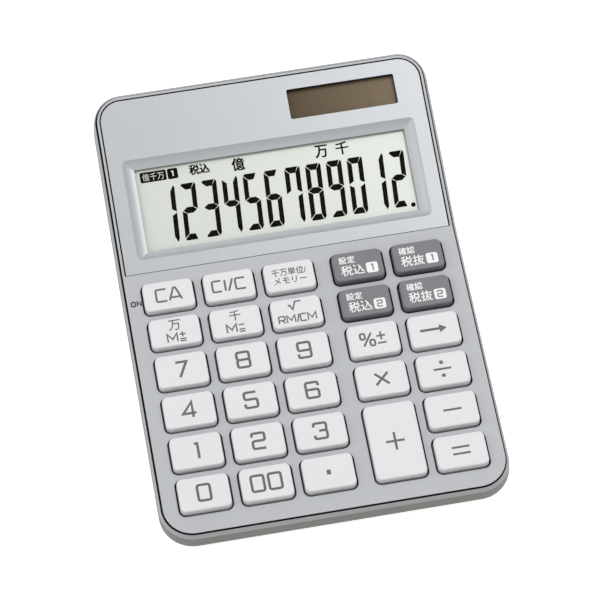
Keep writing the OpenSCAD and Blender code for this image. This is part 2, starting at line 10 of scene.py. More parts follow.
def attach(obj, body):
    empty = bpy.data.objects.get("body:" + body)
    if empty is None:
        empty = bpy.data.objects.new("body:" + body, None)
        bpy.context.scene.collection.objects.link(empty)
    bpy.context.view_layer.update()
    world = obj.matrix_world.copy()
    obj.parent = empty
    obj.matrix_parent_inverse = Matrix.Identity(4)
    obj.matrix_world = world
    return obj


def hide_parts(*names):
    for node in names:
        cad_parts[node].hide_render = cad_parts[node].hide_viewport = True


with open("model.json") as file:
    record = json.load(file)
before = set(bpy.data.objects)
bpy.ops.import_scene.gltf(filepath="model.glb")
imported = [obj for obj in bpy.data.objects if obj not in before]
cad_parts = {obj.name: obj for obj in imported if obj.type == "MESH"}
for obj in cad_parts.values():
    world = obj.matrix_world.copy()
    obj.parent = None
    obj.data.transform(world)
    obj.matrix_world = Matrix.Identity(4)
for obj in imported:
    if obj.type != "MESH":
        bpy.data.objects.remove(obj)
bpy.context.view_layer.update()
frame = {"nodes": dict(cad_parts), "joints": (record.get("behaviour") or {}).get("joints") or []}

bl_info = {
    "name": "Desk Calculator",
    "version": (1, 0, 0),
    "blender": (4, 5, 0),
    "location": "3D View > Sidebar > Calculator",
    "description": "Dresses a desk calculator: case, face, key caps with their legends, display and stage",
    "category": "Object",
}

MM = 0.001


# ---- Where things are, read from the frame. Shapes are worked out in millimetres. ----

def vertices(node):
    """A CAD node's corners in millimetres."""
    return [v.co / MM for v in frame["nodes"][node].data.vertices]


def extent(points):
    """Lowest and highest corner of some points."""
    return (Vector([min(p[i] for p in points) for i in range(3)]),
            Vector([max(p[i] for p in points) for i in range(3)]))


FACE_T = 1.0        # thickness of the face plate
DECK_T = 1.2        # thickness of the deck under it
PANEL_T = 1.8       # thickness of the display panel
LENS_LAP = 1.2      # the window reaches this far under the panel
CELL_LAP = 1.0      # and the solar cell this far
SEAT_GAP = 0.1      # around a part seated in a recess
SKIRT_DROP = 3.4    # the upper case's skirt below the face
BASE_LEVEL = 1.0    # the underside's height over the table
EDGE_LEVEL = 1.9    # the case's lower edge, and how far it lies outside the face
EDGE_REACH = 0.2
BASE_REACH = -1.0   # the flat of the underside ends this far inside it
FLOOR_LEVEL = 2.8   # the floor inside
PANEL_SHARE = 0.35  # share of the panel's gap that is cut from the face plate, the rest from the panel
GAP_SHADE = 1            # slot of the near-black painted gap shade on a painted piece
INK = 1             # slot of the print on a key cap
STEP_UP = 0.002     # strokes that cross lie this much higher, one after another
SHARP_ANGLE = 32.0  # edges sharper than this stay sharp, in degrees

plate_low, plate_high = extent(vertices("face_plate"))
KEY_SLOPE = math.asin(frame["joints"][0]["axis"][1])
Y_FRONT, Y_REAR = plate_low.y, plate_high.y
HALF_W = plate_high.x
FRONT_H = plate_low.z + FACE_T
Y_BEND = extent(vertices("display_panel"))[0].y
Z_BEND = FRONT_H + (Y_BEND - Y_FRONT) * math.tan(KEY_SLOPE)
PANEL_SLOPE = math.atan2(plate_high.z - Z_BEND, Y_REAR - Y_BEND)

KEY_PLANE = Matrix.Translation((0, Y_FRONT, FRONT_H)) @ Matrix.Rotation(KEY_SLOPE, 4, "X")
PANEL_PLANE = Matrix.Translation((0, Y_BEND, Z_BEND)) @ Matrix.Rotation(PANEL_SLOPE, 4, "X")


def within(node, plane, above=-1000.0):
    """A node's extent in the frame of a plane, from its corners higher than `above`."""
    to_plane = plane.inverted()
    return extent([p for p in (to_plane @ v for v in vertices(node)) if p.z > above])


def face_height(y):
    """Height of the bent face over a place in plan."""
    slope = KEY_SLOPE if y < Y_BEND else PANEL_SLOPE
    return Z_BEND + (y - Y_BEND) * math.tan(slope)


KEYS = sorted(name for name in frame["nodes"] if name.startswith("key_") and name != "key_membrane")
GREY_KEYS = [name for name in KEYS if name.startswith("key_tax")]
KEY_TOPS = {name: within(name, KEY_PLANE, 1.0) for name in KEYS}
PANEL_BOX = within("display_panel", PANEL_PLANE)
LENS_BOX = within("display_window", PANEL_PLANE)
CELL_BOX = within("solar_cell", PANEL_PLANE)
GLASS_TOP = within("lcd_glass", PANEL_PLANE)[1].z


# ---- Outlines: loops of points, anticlockwise seen from above ----

def arc(cx, cy, r, start, steps):
    """Points on a quarter circle."""
    turns = [math.radians(start + 90 * i / steps) for i in range(steps + 1)]
    return [(cx + r * math.cos(a), cy + r * math.sin(a)) for a in turns]


def rounded(x0, x1, y0, y1, r, steps=6, rear_r=None):
    """A rectangle with rounded corners; rear_r is for the two rear corners."""
    q = r if rear_r is None else rear_r
    return (arc(x1 - q, y1 - q, q, 0, steps) + arc(x0 + q, y1 - q, q, 90, steps)
            + arc(x0 + r, y0 + r, r, 180, steps) + arc(x1 - r, y0 + r, r, 270, steps))


def box_loop(low, high, grow, r, steps=6):
    """The rounded rectangle of an extent, grown all round."""
    return rounded(low.x - grow, high.x + grow, low.y - grow, high.y + grow, r, steps)


def circle(x, y, r, steps):
    """Points round a circle."""
    return [(x + r * math.cos(2 * math.pi * i / steps), y + r * math.sin(2 * math.pi * i / steps))
            for i in range(steps)]


def face_outline(sizes):
    """Points of the face's outline in plan, each with its outward direction."""
    front_r, rear_r, steps = sizes["front_corner"], sizes["rear_corner"], 20
    front, rear = (HALF_W - front_r, Y_FRONT + front_r), (HALF_W - rear_r, Y_REAR - rear_r)
    corners = [(*rear, rear_r, 0), (-rear[0], rear[1], rear_r, 90), (-front[0], front[1], front_r, 180),
               (*front, front_r, 270)]
    rail = [(Vector((HALF_W, Y_BEND)), Vector((1, 0)))]
    for cx, cy, r, start in corners:
        for i in range(steps + 1):
            a = math.radians(start + 90 * i / steps)
            out = Vector((math.cos(a), math.sin(a)))
            rail.append((Vector((cx, cy)) + r * out, out))
        if start == 90:
            rail.append((Vector((-HALF_W, Y_BEND)), Vector((-1, 0))))
    return rail


# ---- Making one piece ----

class Mould:
    """Gathers the closed shells of one piece, in millimetres, and turns them into an object."""

    def __init__(self):
        self.mesh = bmesh.new()

    def ring(self, points, z=None):
        """New corners on a loop; z lifts points that have only two numbers."""
        return [self.mesh.verts.new((p[0], p[1], p[2] if z is None else z)) for p in points]

    def face(self, corners, material=0):
        """A face, left out where two of its corners are one."""
        if len(set(corners)) == len(corners):
            self.mesh.faces.new(corners).material_index = material

    def band(self, a, b, material=0):
        """A strip between two rings with as many corners."""
        for i in range(len(a)):
            j = (i + 1) % len(a)
            self.face((a[i], a[j], b[j], b[i]), material)

    def bands(self, rings, last=0):
        """Strips between rings, one after another; the last one may differ in material."""
        for a, b in zip(rings, rings[1:]):
            self.band(a, b, last if b is rings[-1] else 0)

    def cap(self, rings, material=0):
        """A flat face inside the first ring, with the other rings as its holes."""
        corners = [v for ring in rings for v in ring]
        for three in tessellate_polygon([[v.co for v in ring] for ring in rings]):
            self.face([corners[i] for i in three], material)

    def shaft(self, loop, top, base, material=0):
        """A straight wall round a loop, as an upper and a lower ring."""
        rings = self.ring(loop, top), self.ring(loop, base)
        self.band(*rings, material)
        return rings

    def slab(self, loops, top, base, material=0):
        """A flat plate between two levels, inside the first loop and outside the others."""
        for rings in zip(*[self.shaft(loop, top, base, material) for loop in loops]):
            self.cap(rings, material)

    def cut(self, y):
        """Splits every face that crosses a line across the piece."""
        everything = self.mesh.verts[:] + self.mesh.edges[:] + self.mesh.faces[:]
        bmesh.ops.bisect_plane(self.mesh, geom=everything, plane_co=(0, y, 0), plane_no=(0, 1, 0),
                               dist=1e-4)

    def drape(self):
        """Turns heights above the face into heights above the table."""
        self.cut(Y_BEND)
        for v in self.mesh.verts:
            v.co.z += face_height(v.co.y)

    def place(self, plane):
        """Moves everything from a plane's own frame to the calculator's."""
        bmesh.ops.transform(self.mesh, matrix=plane, verts=self.mesh.verts)

    def take(self, data, plane=None, material=0):
        """Adds a ready mesh, in millimetres."""
        added = bmesh.new()
        added.from_mesh(data)
        if plane is not None:
            bmesh.ops.transform(added, matrix=plane, verts=added.verts)
        spare = bpy.data.meshes.new("spare")
        for f in added.faces:
            f.material_index = material
        added.to_mesh(spare)
        added.free()
        self.mesh.from_mesh(spare)
        bpy.data.meshes.remove(spare)

    def finish(self, name, finishes, slot, body="casing", replaces=()):
        """The finished object: closed, in metres, facing outwards, softly shaded, riding on its body."""
        bmesh.ops.recalc_face_normals(self.mesh, faces=self.mesh.faces)
        bmesh.ops.scale(self.mesh, vec=(MM, MM, MM), verts=self.mesh.verts)
        data = bpy.data.meshes.new(name)
        self.mesh.to_mesh(data)
        self.mesh.free()
        for finish in finishes:
            data.materials.append(finish_of(finish))
        data.shade_smooth()
        data.set_sharp_from_angle(angle=math.radians(SHARP_ANGLE))
        piece = linked(name, data)
        even = piece.modifiers.new("even_shading", "WEIGHTED_NORMAL")
        even.keep_sharp = True
        settle(piece)
        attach(piece, body)
        if replaces:
            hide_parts(*replaces)


def linked(name, data):
    """A new object in the scene."""
    made = bpy.data.objects.new(name, data)
    bpy.context.scene.collection.objects.link(made)
    return made


def plain_mesh(holder):
    """An object with its modifiers, or a text, as a plain mesh."""
    bpy.context.view_layer.update()
    graph = bpy.context.evaluated_depsgraph_get()
    return bpy.data.meshes.new_from_object(holder.evaluated_get(graph), depsgraph=graph)


def settle(piece):
    """Turns a piece and its modifiers into one plain mesh."""
    data = plain_mesh(piece)
    old = piece.data
    name = old.name
    piece.modifiers.clear()
    piece.data = data
    bpy.data.meshes.remove(old)
    data.name = name


def edge_steps(radius, steps=4):
    """(inset, level) pairs down a rounded edge, from the flat top at 0 to the wall."""
    turns = [math.pi / 2 * i / steps for i in range(steps + 1)]
    return [(radius * (1 - math.sin(a)), -radius * (1 - math.cos(a))) for a in turns]


# ---- Materials ----

def linear(code):
    """An sRGB hex colour as linear light."""
    shares = [int(code[i:i + 2], 16) / 255 for i in (1, 3, 5)]
    return tuple(s / 12.92 if s <= 0.04045 else ((s + 0.055) / 1.055) ** 2.4 for s in shares)


def add(tree, kind, settings=None, **inputs):
    """Adds a node. Inputs are given by name with _ for spaces, or by number as n0, n1."""
    made = tree.nodes.new(kind)
    for key, value in (settings or {}).items():
        setattr(made, key, value)
    for key, value in inputs.items():
        socket = made.inputs[int(key[1:])] if key[1:].isdigit() else made.inputs[key.replace("_", " ")]
        if isinstance(value, bpy.types.NodeSocket):
            tree.links.new(value, socket)
        else:
            socket.default_value = value
    return made


def emptied(block):
    """The node tree of a new material or world, without its nodes."""
    block.use_nodes = True
    block.node_tree.nodes.clear()
    return block.node_tree


def shaded(name, colour, roughness, grain=0.0, grain_mm=0.2, tone=0.0, tone_mm=6.0, **sockets):
    """A Principled material: grain is the bump's height share, tone how far the colour drifts."""
    material = bpy.data.materials.new(name)
    tree = emptied(material)
    output = add(tree, "ShaderNodeOutputMaterial")
    shader = add(tree, "ShaderNodeBsdfPrincipled", Base_Color=(*colour, 1), Roughness=roughness, **sockets)
    tree.links.new(shader.outputs[0], output.inputs["Surface"])
    place = add(tree, "ShaderNodeTexCoord").outputs["Object"]
    drift = add(tree, "ShaderNodeTexNoise", Vector=place, Scale=1 / (tone_mm * MM), Detail=3.0)
    if tone:
        tints = add(tree, "ShaderNodeValToRGB", Fac=drift.outputs["Fac"])
        for stop, at, share in zip(tints.color_ramp.elements, (0.3, 0.7), (1 - tone, 1 + tone)):
            stop.position = at
            stop.color = (*[min(1, c * share) for c in colour], 1)
        tree.links.new(tints.outputs["Color"], shader.inputs["Base Color"])
    rough = add(tree, "ShaderNodeMapRange", Value=drift.outputs["Fac"],
                To_Min=roughness * 0.92, To_Max=roughness * 1.08)
    tree.links.new(rough.outputs["Result"], shader.inputs["Roughness"])
    if grain:
        fine = add(tree, "ShaderNodeTexNoise", Vector=place, Scale=1 / (grain_mm * MM), Detail=2.0)
        bump = add(tree, "ShaderNodeBump", Strength=grain, Distance=grain_mm * MM * 0.2,
                   Height=fine.outputs["Fac"])
        tree.links.new(bump.outputs["Normal"], shader.inputs["Normal"])
    return material


def painted_sheen_sweep(material, start, end, code):
    """The same material with a painted sheen: its colour drifts along X, from its own at start to code at
    end, in mm.
    """
    tree = material.node_tree
    base = tree.nodes["Principled BSDF"].inputs["Base Color"]
    place = add(tree, "ShaderNodeTexCoord").outputs["Object"]
    along = add(tree, "ShaderNodeSeparateXYZ", Vector=place).outputs["X"]
    share = add(tree, "ShaderNodeMapRange", Value=along, From_Min=start * MM, From_Max=end * MM)
    mixed = add(tree, "ShaderNodeMix", {"data_type": "RGBA"}, Factor=share.outputs["Result"],
                n6=base.links[0].from_socket, n7=(*linear(code), 1))
    tree.links.new(mixed.outputs[2], base)
    return material


def make_materials():
    """Every finish of the calculator, by name."""
    colours = bpy.context.scene.calculator_colours
    made = {}

    def finish(name, colour, *args, **settings):
        colour = linear(colour) if isinstance(colour, str) else colour
        made[name] = shaded(name, colour, *args, **settings)

    # Silver-painted ABS, sprayed: a satin grey with a faint grain
    finish("silver_paint", colours.face, 0.6, grain=0.25, grain_mm=0.35, tone=0.012, tone_mm=9,
           Metallic=0.1)
    # The same paint on the smoother display panel, glossier, so that it takes up more of the surroundings
    finish("panel_paint", colours.panel, 0.39, grain=0.12, grain_mm=0.35, tone=0.01, tone_mm=12,
           Metallic=0.3)
    # Near-black for the walls of the gaps and for the deck seen through them: painted shade that makes the
    # gaps dark
    finish("gap_shade_black", "#1B1C1F", 0.7, tone=0.02, Specular_IOR_Level=0.2)
    # Silver-grey ABS of the rim, moulded in colour
    finish("rim_plastic", colours.rim, 0.5, grain=0.2, grain_mm=0.4, tone=0.01)
    # Warm grey ABS of the lower case, with a fine spark-eroded grain
    finish("case_plastic", colours.lower_case, 0.5, grain=0.5, grain_mm=0.45, tone=0.02)
    # White ABS key caps, moulded smooth and slightly silky
    finish("white_cap", colours.white_caps, 0.58, grain=0.08, grain_mm=0.5, tone=0.006)
    # Mid-grey ABS key caps
    finish("grey_cap", colours.grey_caps, 0.58, grain=0.12, grain_mm=0.5, tone=0.012)
    # Pad-printed ink, matt
    finish("grey_ink", "#626265", 0.6, tone=0.02, tone_mm=1.5)
    finish("white_ink", "#F2F2F2", 0.55, tone=0.01, tone_mm=1.5)
    finish("dark_ink", "#2C2D30", 0.6, tone=0.02, tone_mm=1.5)
    # Liquid crystal cell over a silvered reflector: pale green-grey, smooth
    finish("crystal_glass", "#CED3CB", 0.36, tone=0.006, tone_mm=25, Metallic=0.16)
    # Switched crystal: the segments are a warm near-black
    finish("dark_segment", "#0E0807", 0.6, tone=0.05, tone_mm=3, Specular_IOR_Level=0.05)
    # Amorphous silicon behind glass: brown, growing lighter towards its right end as a painted sheen, with
    # a soft gloss
    finish("silicon_film", "#55452F", 0.34, tone=0.06, tone_mm=14, Specular_IOR_Level=0.2)
    # The colour grows lighter along the cell: a painted sheen
    made["silicon_film"] = painted_sheen_sweep(made["silicon_film"], 10, 42, "#786750")
    finish("cell_division", "#65533F", 0.34, tone=0.02, Specular_IOR_Level=0.2)
    # White ABS frame round the display glass
    finish("frame_plastic", "#E3E3E0", 0.5, grain=0.2, grain_mm=0.4)
    # Silvered film, polyimide film and wire jackets
    finish("silvered_film", "#D9DBD8", 0.3, tone=0.01, Metallic=0.8)
    finish("amber_film", "#B8741E", 0.25, tone=0.06, tone_mm=4, Coat_Weight=0.4)
    finish("wire_jacket", "#A02822", 0.4, tone=0.03, tone_mm=3)
    # Silicone dome sheet, matt and faintly powdery
    finish("silicone", "#9EA3A8", 0.7, grain=0.3, grain_mm=0.3, tone=0.03)
    # Glass-fibre board under green solder mask
    finish("solder_mask", "#1F5B38", 0.3, grain=0.2, grain_mm=0.6, tone=0.08, tone_mm=3, Coat_Weight=0.3)
    # Epoxy blob, capacitor sleeve
    finish("epoxy", "#141414", 0.2, tone=0.1, tone_mm=3)
    finish("sleeve", "#27406B", 0.35, tone=0.04, tone_mm=2)
    # Nickel-plated cell can and contacts, zinc-plated screws
    finish("nickel", "#C9C7C1", 0.22, grain=0.15, grain_mm=0.3, tone=0.03, tone_mm=2, Metallic=1.0)
    finish("zinc_screw", "#AEB0B2", 0.32, grain=0.2, tone=0.04, tone_mm=1, Metallic=1.0)
    # Rubber feet: near-black, matt, slightly chalky
    finish("foot_rubber", "#2B2A29", 0.8, grain=0.4, grain_mm=0.4, tone=0.08, tone_mm=3)

    # Clear acrylic window, hard-coated against glare; lamps and soft light shine through it
    lens = bpy.data.materials.new("clear_acrylic")
    tree = emptied(lens)
    pane = add(tree, "ShaderNodeBsdfPrincipled", Base_Color=(1, 1, 1, 1), Roughness=0.02, IOR=1.03,
               Transmission_Weight=1.0)
    clear = add(tree, "ShaderNodeBsdfTransparent")
    rays = add(tree, "ShaderNodeLightPath").outputs
    for ray in ("Is Shadow Ray", "Is Diffuse Ray", "Is Glossy Ray"):
        pane = add(tree, "ShaderNodeMixShader", Fac=rays[ray], n1=pane.outputs[0], n2=clear.outputs[0])
    add(tree, "ShaderNodeOutputMaterial", Surface=pane.outputs[0])
    made["clear_acrylic"] = lens
    return made


MATERIALS = {}


def finish_of(name):
    """A material by name, all made on first use."""
    if not MATERIALS:
        MATERIALS.update(make_materials())
    return MATERIALS[name]


# ---- Sizes and colours that a user would change ----

def length(name, description, default):
    """A length property, in metres, from millimetres."""
    return bpy.props.FloatProperty(name=name, description=description, default=default * MM,
                                   subtype="DISTANCE", unit="LENGTH", precision=5)


def tint(name, description, code):
    """A colour property, from an sRGB hex colour."""
    return bpy.props.FloatVectorProperty(name=name, description=description, default=linear(code),
                                         size=3, subtype="COLOR", min=0, max=1)


class CaseSizes(bpy.types.PropertyGroup):
    """Sizes of the case, the face and the panel."""
    front_corner: length("Front Corner", "Corner radius of the face at the front", 8.7)
    rear_corner: length("Rear Corner", "Corner radius of the face at the rear", 7.6)
    groove: length("Groove", "Width of the groove round the face plate", 0.58)
    plate_edge: length("Plate Edge", "Radius of the face plate's edges", 0.07)
    groove_right: length("Groove Right", "How much narrower the groove is at the right", 0.26)
    groove_rear: length("Groove Rear", "How much narrower it is at the rear, where it is closest", 0.5)
    panel_gap: length("Panel Gap", "Gap between the display panel and the face plate", 0.42)
    key_gap: length("Key Gap", "Gap at the sides of a key cap, at the face", 0.42)
    key_gap_more: length("Key Gap More", "How much wider the gap is in front of a cap and behind it", 0.12)
    crease_reach: length("Crease Reach", "The line between the case's halves, past the face", 1.2)
    crease_drop: length("Crease Drop", "The same line, below the face", 1.9)
    widest_drop: length("Widest Drop", "Depth of the widest line below the face, at the front", 6.0)
    widest_fall: length("Widest Fall", "How much lower the widest line lies at the rear", 1.3)
    wall: length("Wall", "Wall of the lower case", 1.8)


class KeySizes(bpy.types.PropertyGroup):
    """Sizes of the key caps and their print."""
    edge: length("Edge", "Radius of a cap's top edge", 0.42)
    corner: length("Corner", "Corner radius of a cap", 1.8)
    draft: length("Draft", "How far a cap's walls lean in", 0.2)
    print_height: length("Print Height", "Height of the printed ink", 0.015)
    digit_width: length("Digit Width", "Width of a printed digit", 4.45)
    digit_height: length("Digit Height", "Height of a printed digit", 5.7)
    digit_stroke: length("Digit Stroke", "Line width of a printed digit", 0.78)


class DisplaySizes(bpy.types.PropertyGroup):
    """Sizes of the display."""
    border_side: length("Border Side", "Sloped border at the window's sides", 3.35)
    border_rear: length("Border Rear", "Sloped border behind the window", 2.9)
    border_front: length("Border Front", "Sloped border in front of the window", 2.7)
    border_depth: length("Border Depth", "Depth of the sloped border", 1.7)
    digit_pitch: length("Digit Pitch", "Distance between displayed digits", 6.43)
    digit_width: length("Digit Width", "Width of a displayed digit", 4.75)
    digit_height: length("Digit Height", "Height of a displayed digit", 17.9)
    slant: bpy.props.FloatProperty(name="Slant", description="Lean of the displayed digits",
                                   default=math.radians(3.2), subtype="ANGLE", unit="ROTATION")
    shown: bpy.props.StringProperty(name="Shown", description="Digits on the display",
                                    default="123456789012")


class FinishColours(bpy.types.PropertyGroup):
    """Colours of the paint and the plastics."""
    face: tint("Face", "Silver paint of the face plate", "#B8BABD")
    panel: tint("Panel", "Silver paint of the display panel", "#B3B6B9")
    rim: tint("Rim", "Plastic of the upper case, which shows at the rim", "#A9A9AB")
    lower_case: tint("Lower Case", "Plastic of the lower case and the battery cover", "#7C7974")
    white_caps: tint("White Caps", "Plastic of the white key caps", "#E3E3E5")
    grey_caps: tint("Grey Caps", "Plastic of the grey key caps", "#77787C")


class StageLooks(bpy.types.PropertyGroup):
    """Light and floor."""
    floor_colour: tint("Floor Colour", "Colour of the floor", "#E0E0E0")
    key_power: bpy.props.FloatProperty(name="Main Light", description="Power of the main light",
                                       default=2.4, min=0, unit="POWER")
    fill_power: bpy.props.FloatProperty(name="Fill Light", description="Power of the fill light",
                                        default=1.9, min=0, unit="POWER")
    sky: bpy.props.FloatProperty(name="Sky", description="Strength of the white surroundings",
                                 default=0.62, min=0)


def mm_of(group):
    """A property group's lengths in millimetres, by name."""
    return {key: getattr(group, key) / MM for key, kind in group.bl_rna.properties.items()
            if kind.type == "FLOAT" and kind.unit == "LENGTH"}


# ---- The face ----

def opening_loop(name, grow):
    """The opening round a key, in plan."""
    low, high = KEY_TOPS[name]
    corner = bpy.context.scene.calculator_keys.corner / MM
    case = bpy.context.scene.calculator_case
    gap, more, middle = case.key_gap / MM + grow, case.key_gap_more / MM, (low.y + high.y) / 2
    loop = box_loop(low, high, gap, corner + gap, steps=7)
    return [(x, Y_FRONT + (s + math.copysign(more, s - middle)) * math.cos(KEY_SLOPE)) for x, s in loop]


def panel_y(v):
    """A place up the display panel's slope, in plan."""
    return Y_BEND + v * math.cos(PANEL_SLOPE)


def panel_loop(grow):
    """The display panel's outline, in its own plane."""
    x = PANEL_BOX[1].x + grow
    rear_r = bpy.context.scene.calculator_case.rear_corner / MM - (HALF_W - x)
    front = max(0.0, -grow * 0.3)
    return rounded(-x, x, front, PANEL_BOX[1].y + grow, r=0.08, steps=16, rear_r=rear_r)


def panel_in_plan(grow, setback=0.0):
    """The same outline in plan; setback moves its front edge towards the keys."""
    return [(x, panel_y(v) - (setback if v < 1 else 0)) for x, v in panel_loop(grow)]


class CALCULATOR_OT_face_plate(bpy.types.Operator):
    """Makes the painted face plate, bent between the keys and the display"""
    bl_idname = "calculator.face_plate"
    bl_label = "Face Plate"

    def execute(self, context):
        sizes = mm_of(context.scene.calculator_case)
        rail = face_outline(sizes)
        mould = Mould()
        levels = edge_steps(sizes["plate_edge"]) + [(0.0, -FACE_T)]
        loops = [[mould.ring([p - out * inset for p, out in rail], z) for inset, z in levels]]
        for name in KEYS:
            loops.append([mould.ring(opening_loop(name, inset), z) for inset, z in levels])
        gap = sizes["panel_gap"] * PANEL_SHARE
        loops.append([mould.ring(panel_in_plan(gap + inset, 0.05 + inset), z) for inset, z in levels])
        # The walls of the edge and of every opening take the painted gap shade, and so does the underside
        for rings in loops:
            mould.bands(rings, last=GAP_SHADE)
        mould.cap([rings[0] for rings in loops])
        mould.cap([rings[-1] for rings in loops], GAP_SHADE)
        mould.drape()
        mould.finish("face_plate_painted", ["silver_paint", "gap_shade_black"], "silver_face",
                     replaces=["face_plate"])
        mark = Mould()
        left, front, pitch = -49.4, 74.8, 1.75
        for i, letter in enumerate("ON"):
            write(mark, letter, left + i * pitch, front, w=1.55, h=1.85, line=0.42, base=0.0, height=0.02)
        mark.place(KEY_PLANE)
        mark.finish("on_mark", ["dark_ink"], "silver_face")
        return {"FINISHED"}


class CALCULATOR_OT_upper_case(bpy.types.Operator):
    """Makes the upper case: the rim outside the groove and the deck under the face"""
    bl_idname = "calculator.upper_case"
    bl_label = "Upper Case"

    def execute(self, context):
        sizes = mm_of(context.scene.calculator_case)
        rail = face_outline(sizes)
        groove, reach, drop = sizes["groove"], sizes["crease_reach"], sizes["crease_drop"]
        skirt_out = -sizes["wall"] / 2 - SEAT_GAP
        skirt_t = 1.0
        deck_base = FACE_T + DECK_T
        profile = [  # reach past the face and depth below it, from the deck round to its underside
            (groove, FACE_T), (groove, 0.2), (groove + 0.03, 0.08), (groove + 0.1, 0.02),
            (groove + 0.18, 0.05), (groove + 0.25, 0.16), (groove + 0.33, 0.5), (reach - 0.04, drop - 0.15),
            (reach - 0.08, drop), (skirt_out, drop), (skirt_out, SKIRT_DROP),
            (skirt_out - skirt_t, SKIRT_DROP), (skirt_out - skirt_t, deck_base)]
        mould = Mould()
        rings = []
        for k, (o, depth) in enumerate(profile):
            narrowed = max(0.0, 1 - abs(k - 2) / 5) if k > 2 else 1.0      # fades out over the rim's round
            rings.append(mould.ring([
                p + out * (o - narrowed * (sizes["groove_right"] * max(0, out.x) ** 2
                                           + sizes["groove_rear"] * max(0, out.y) ** 2))
                for p, out in rail], -depth))
        mould.bands(rings)
        # The walls of the holes, the recess and the windows, and the deck's top seen through the gaps, take
        # the painted gap shade
        holes = [mould.shaft(opening_loop(name, 0), -FACE_T, -deck_base, GAP_SHADE) for name in KEYS]
        recess_top, recess_base = mould.shaft(panel_in_plan(SEAT_GAP), -FACE_T, -PANEL_T, GAP_SHADE)
        windows = []    # the deck's openings under the display and the solar cell
        for low, high, grow in ((*LENS_BOX, 1.8), (*CELL_BOX, 0.3)):
            loop = [(x, panel_y(v)) for x, v in box_loop(low, high, grow, 0.4, 3)]
            windows.append(mould.shaft(loop, -PANEL_T, -deck_base, GAP_SHADE))
        mould.cap([rings[0]] + [a for a, b in holes] + [recess_top], GAP_SHADE)
        mould.cap([recess_base] + [a for a, b in windows], GAP_SHADE)
        mould.cap([rings[-1]] + [b for a, b in holes + windows])
        low_deck = PANEL_T - FACE_T     # how much lower the deck lies under the panel
        ramp_start, ramp_end = Y_BEND - 3.2, Y_BEND - 2.2
        mould.cut(ramp_start)
        mould.cut(ramp_end)
        for v in mould.mesh.verts:
            if abs(v.co.z + deck_base) < 1e-4 and v.co.y > ramp_start:
                v.co.z -= low_deck * min(1, (v.co.y - ramp_start) / (ramp_end - ramp_start))
        mould.drape()
        for node, r, seat in (("board_screws", 1.7, 1.95), ("case_screws", 1.5, 3.6)):
            for box in solids(node):
                x, y = middle_of(box)
                mould.slab([circle(x, y, r, 32)], face_height(y) - deck_base, box[0].z + seat)
        mould.finish("upper_case_moulded", ["rim_plastic", "gap_shade_black"], "silver_rim",
                     replaces=["upper_case"])
        return {"FINISHED"}


def solids(node):
    """Extent of each separate solid of a CAD node, in millimetres."""
    joined = bmesh.new()
    joined.from_mesh(frame["nodes"][node].data)
    bmesh.ops.remove_doubles(joined, verts=joined.verts, dist=1e-6)
    left, found = set(joined.verts), []
    while left:
        reached, edge = set(), [left.pop()]
        while edge:
            v = edge.pop()
            reached.add(v)
            for e in v.link_edges:
                other = e.other_vert(v)
                if other in left:
                    left.remove(other)
                    edge.append(other)
        found.append(extent([v.co / MM for v in reached]))
    joined.free()
    return sorted(found, key=lambda box: tuple(box[0]))


def middle_of(box):
    """Middle of an extent, in plan."""
    return (box[0].x + box[1].x) / 2, (box[0].y + box[1].y) / 2


def case_profile(sizes):
    """The outside of the lower case: reach past the face and height, by a place's y."""
    reach, drop = sizes["crease_reach"], sizes["crease_drop"]
    widest = extent(vertices("lower_case"))[1].x - HALF_W
    depth = Y_REAR - Y_FRONT + 2 * widest
    edge = (EDGE_REACH, EDGE_LEVEL)
    under = (BASE_REACH, BASE_LEVEL)

    def crease(y):
        return reach, face_height(y) - drop

    def widest_line(y):
        share = max(0, min(1, (y - Y_FRONT) / depth))
        return widest, face_height(y) - sizes["widest_drop"] - sizes["widest_fall"] * share

    def along(a, b, t):
        return a[0] + (b[0] - a[0]) * t, a[1] + (b[1] - a[1]) * t

    def turned(before, corner, after, steps):
        return [along(along(before, corner, i / steps), along(corner, after, i / steps), i / steps)
                for i in range(steps + 1)]

    def stations(y):
        top, wide = crease(y), widest_line(y)
        lip = along(top, wide, -0.02)
        rows = [(lip[0] - 0.09, lip[1]), along(top, wide, 0.06)]     # a small step at the crease
        low_h = wide[1] - edge[1]
        soft = min(1.1, low_h * 0.4)        # the widest line's rounding, up and down
        above = along(wide, top, soft / (top[1] - wide[1]))
        rows += turned(above, wide, along(wide, edge, soft / low_h), 6)
        rows += turned(along(edge, wide, min(0.4, 0.9 / low_h)), edge, along(edge, under, 0.7), 5)
        return rows + [along(edge, under, 0.93), (under[0] - 0.25, under[1])]

    return stations


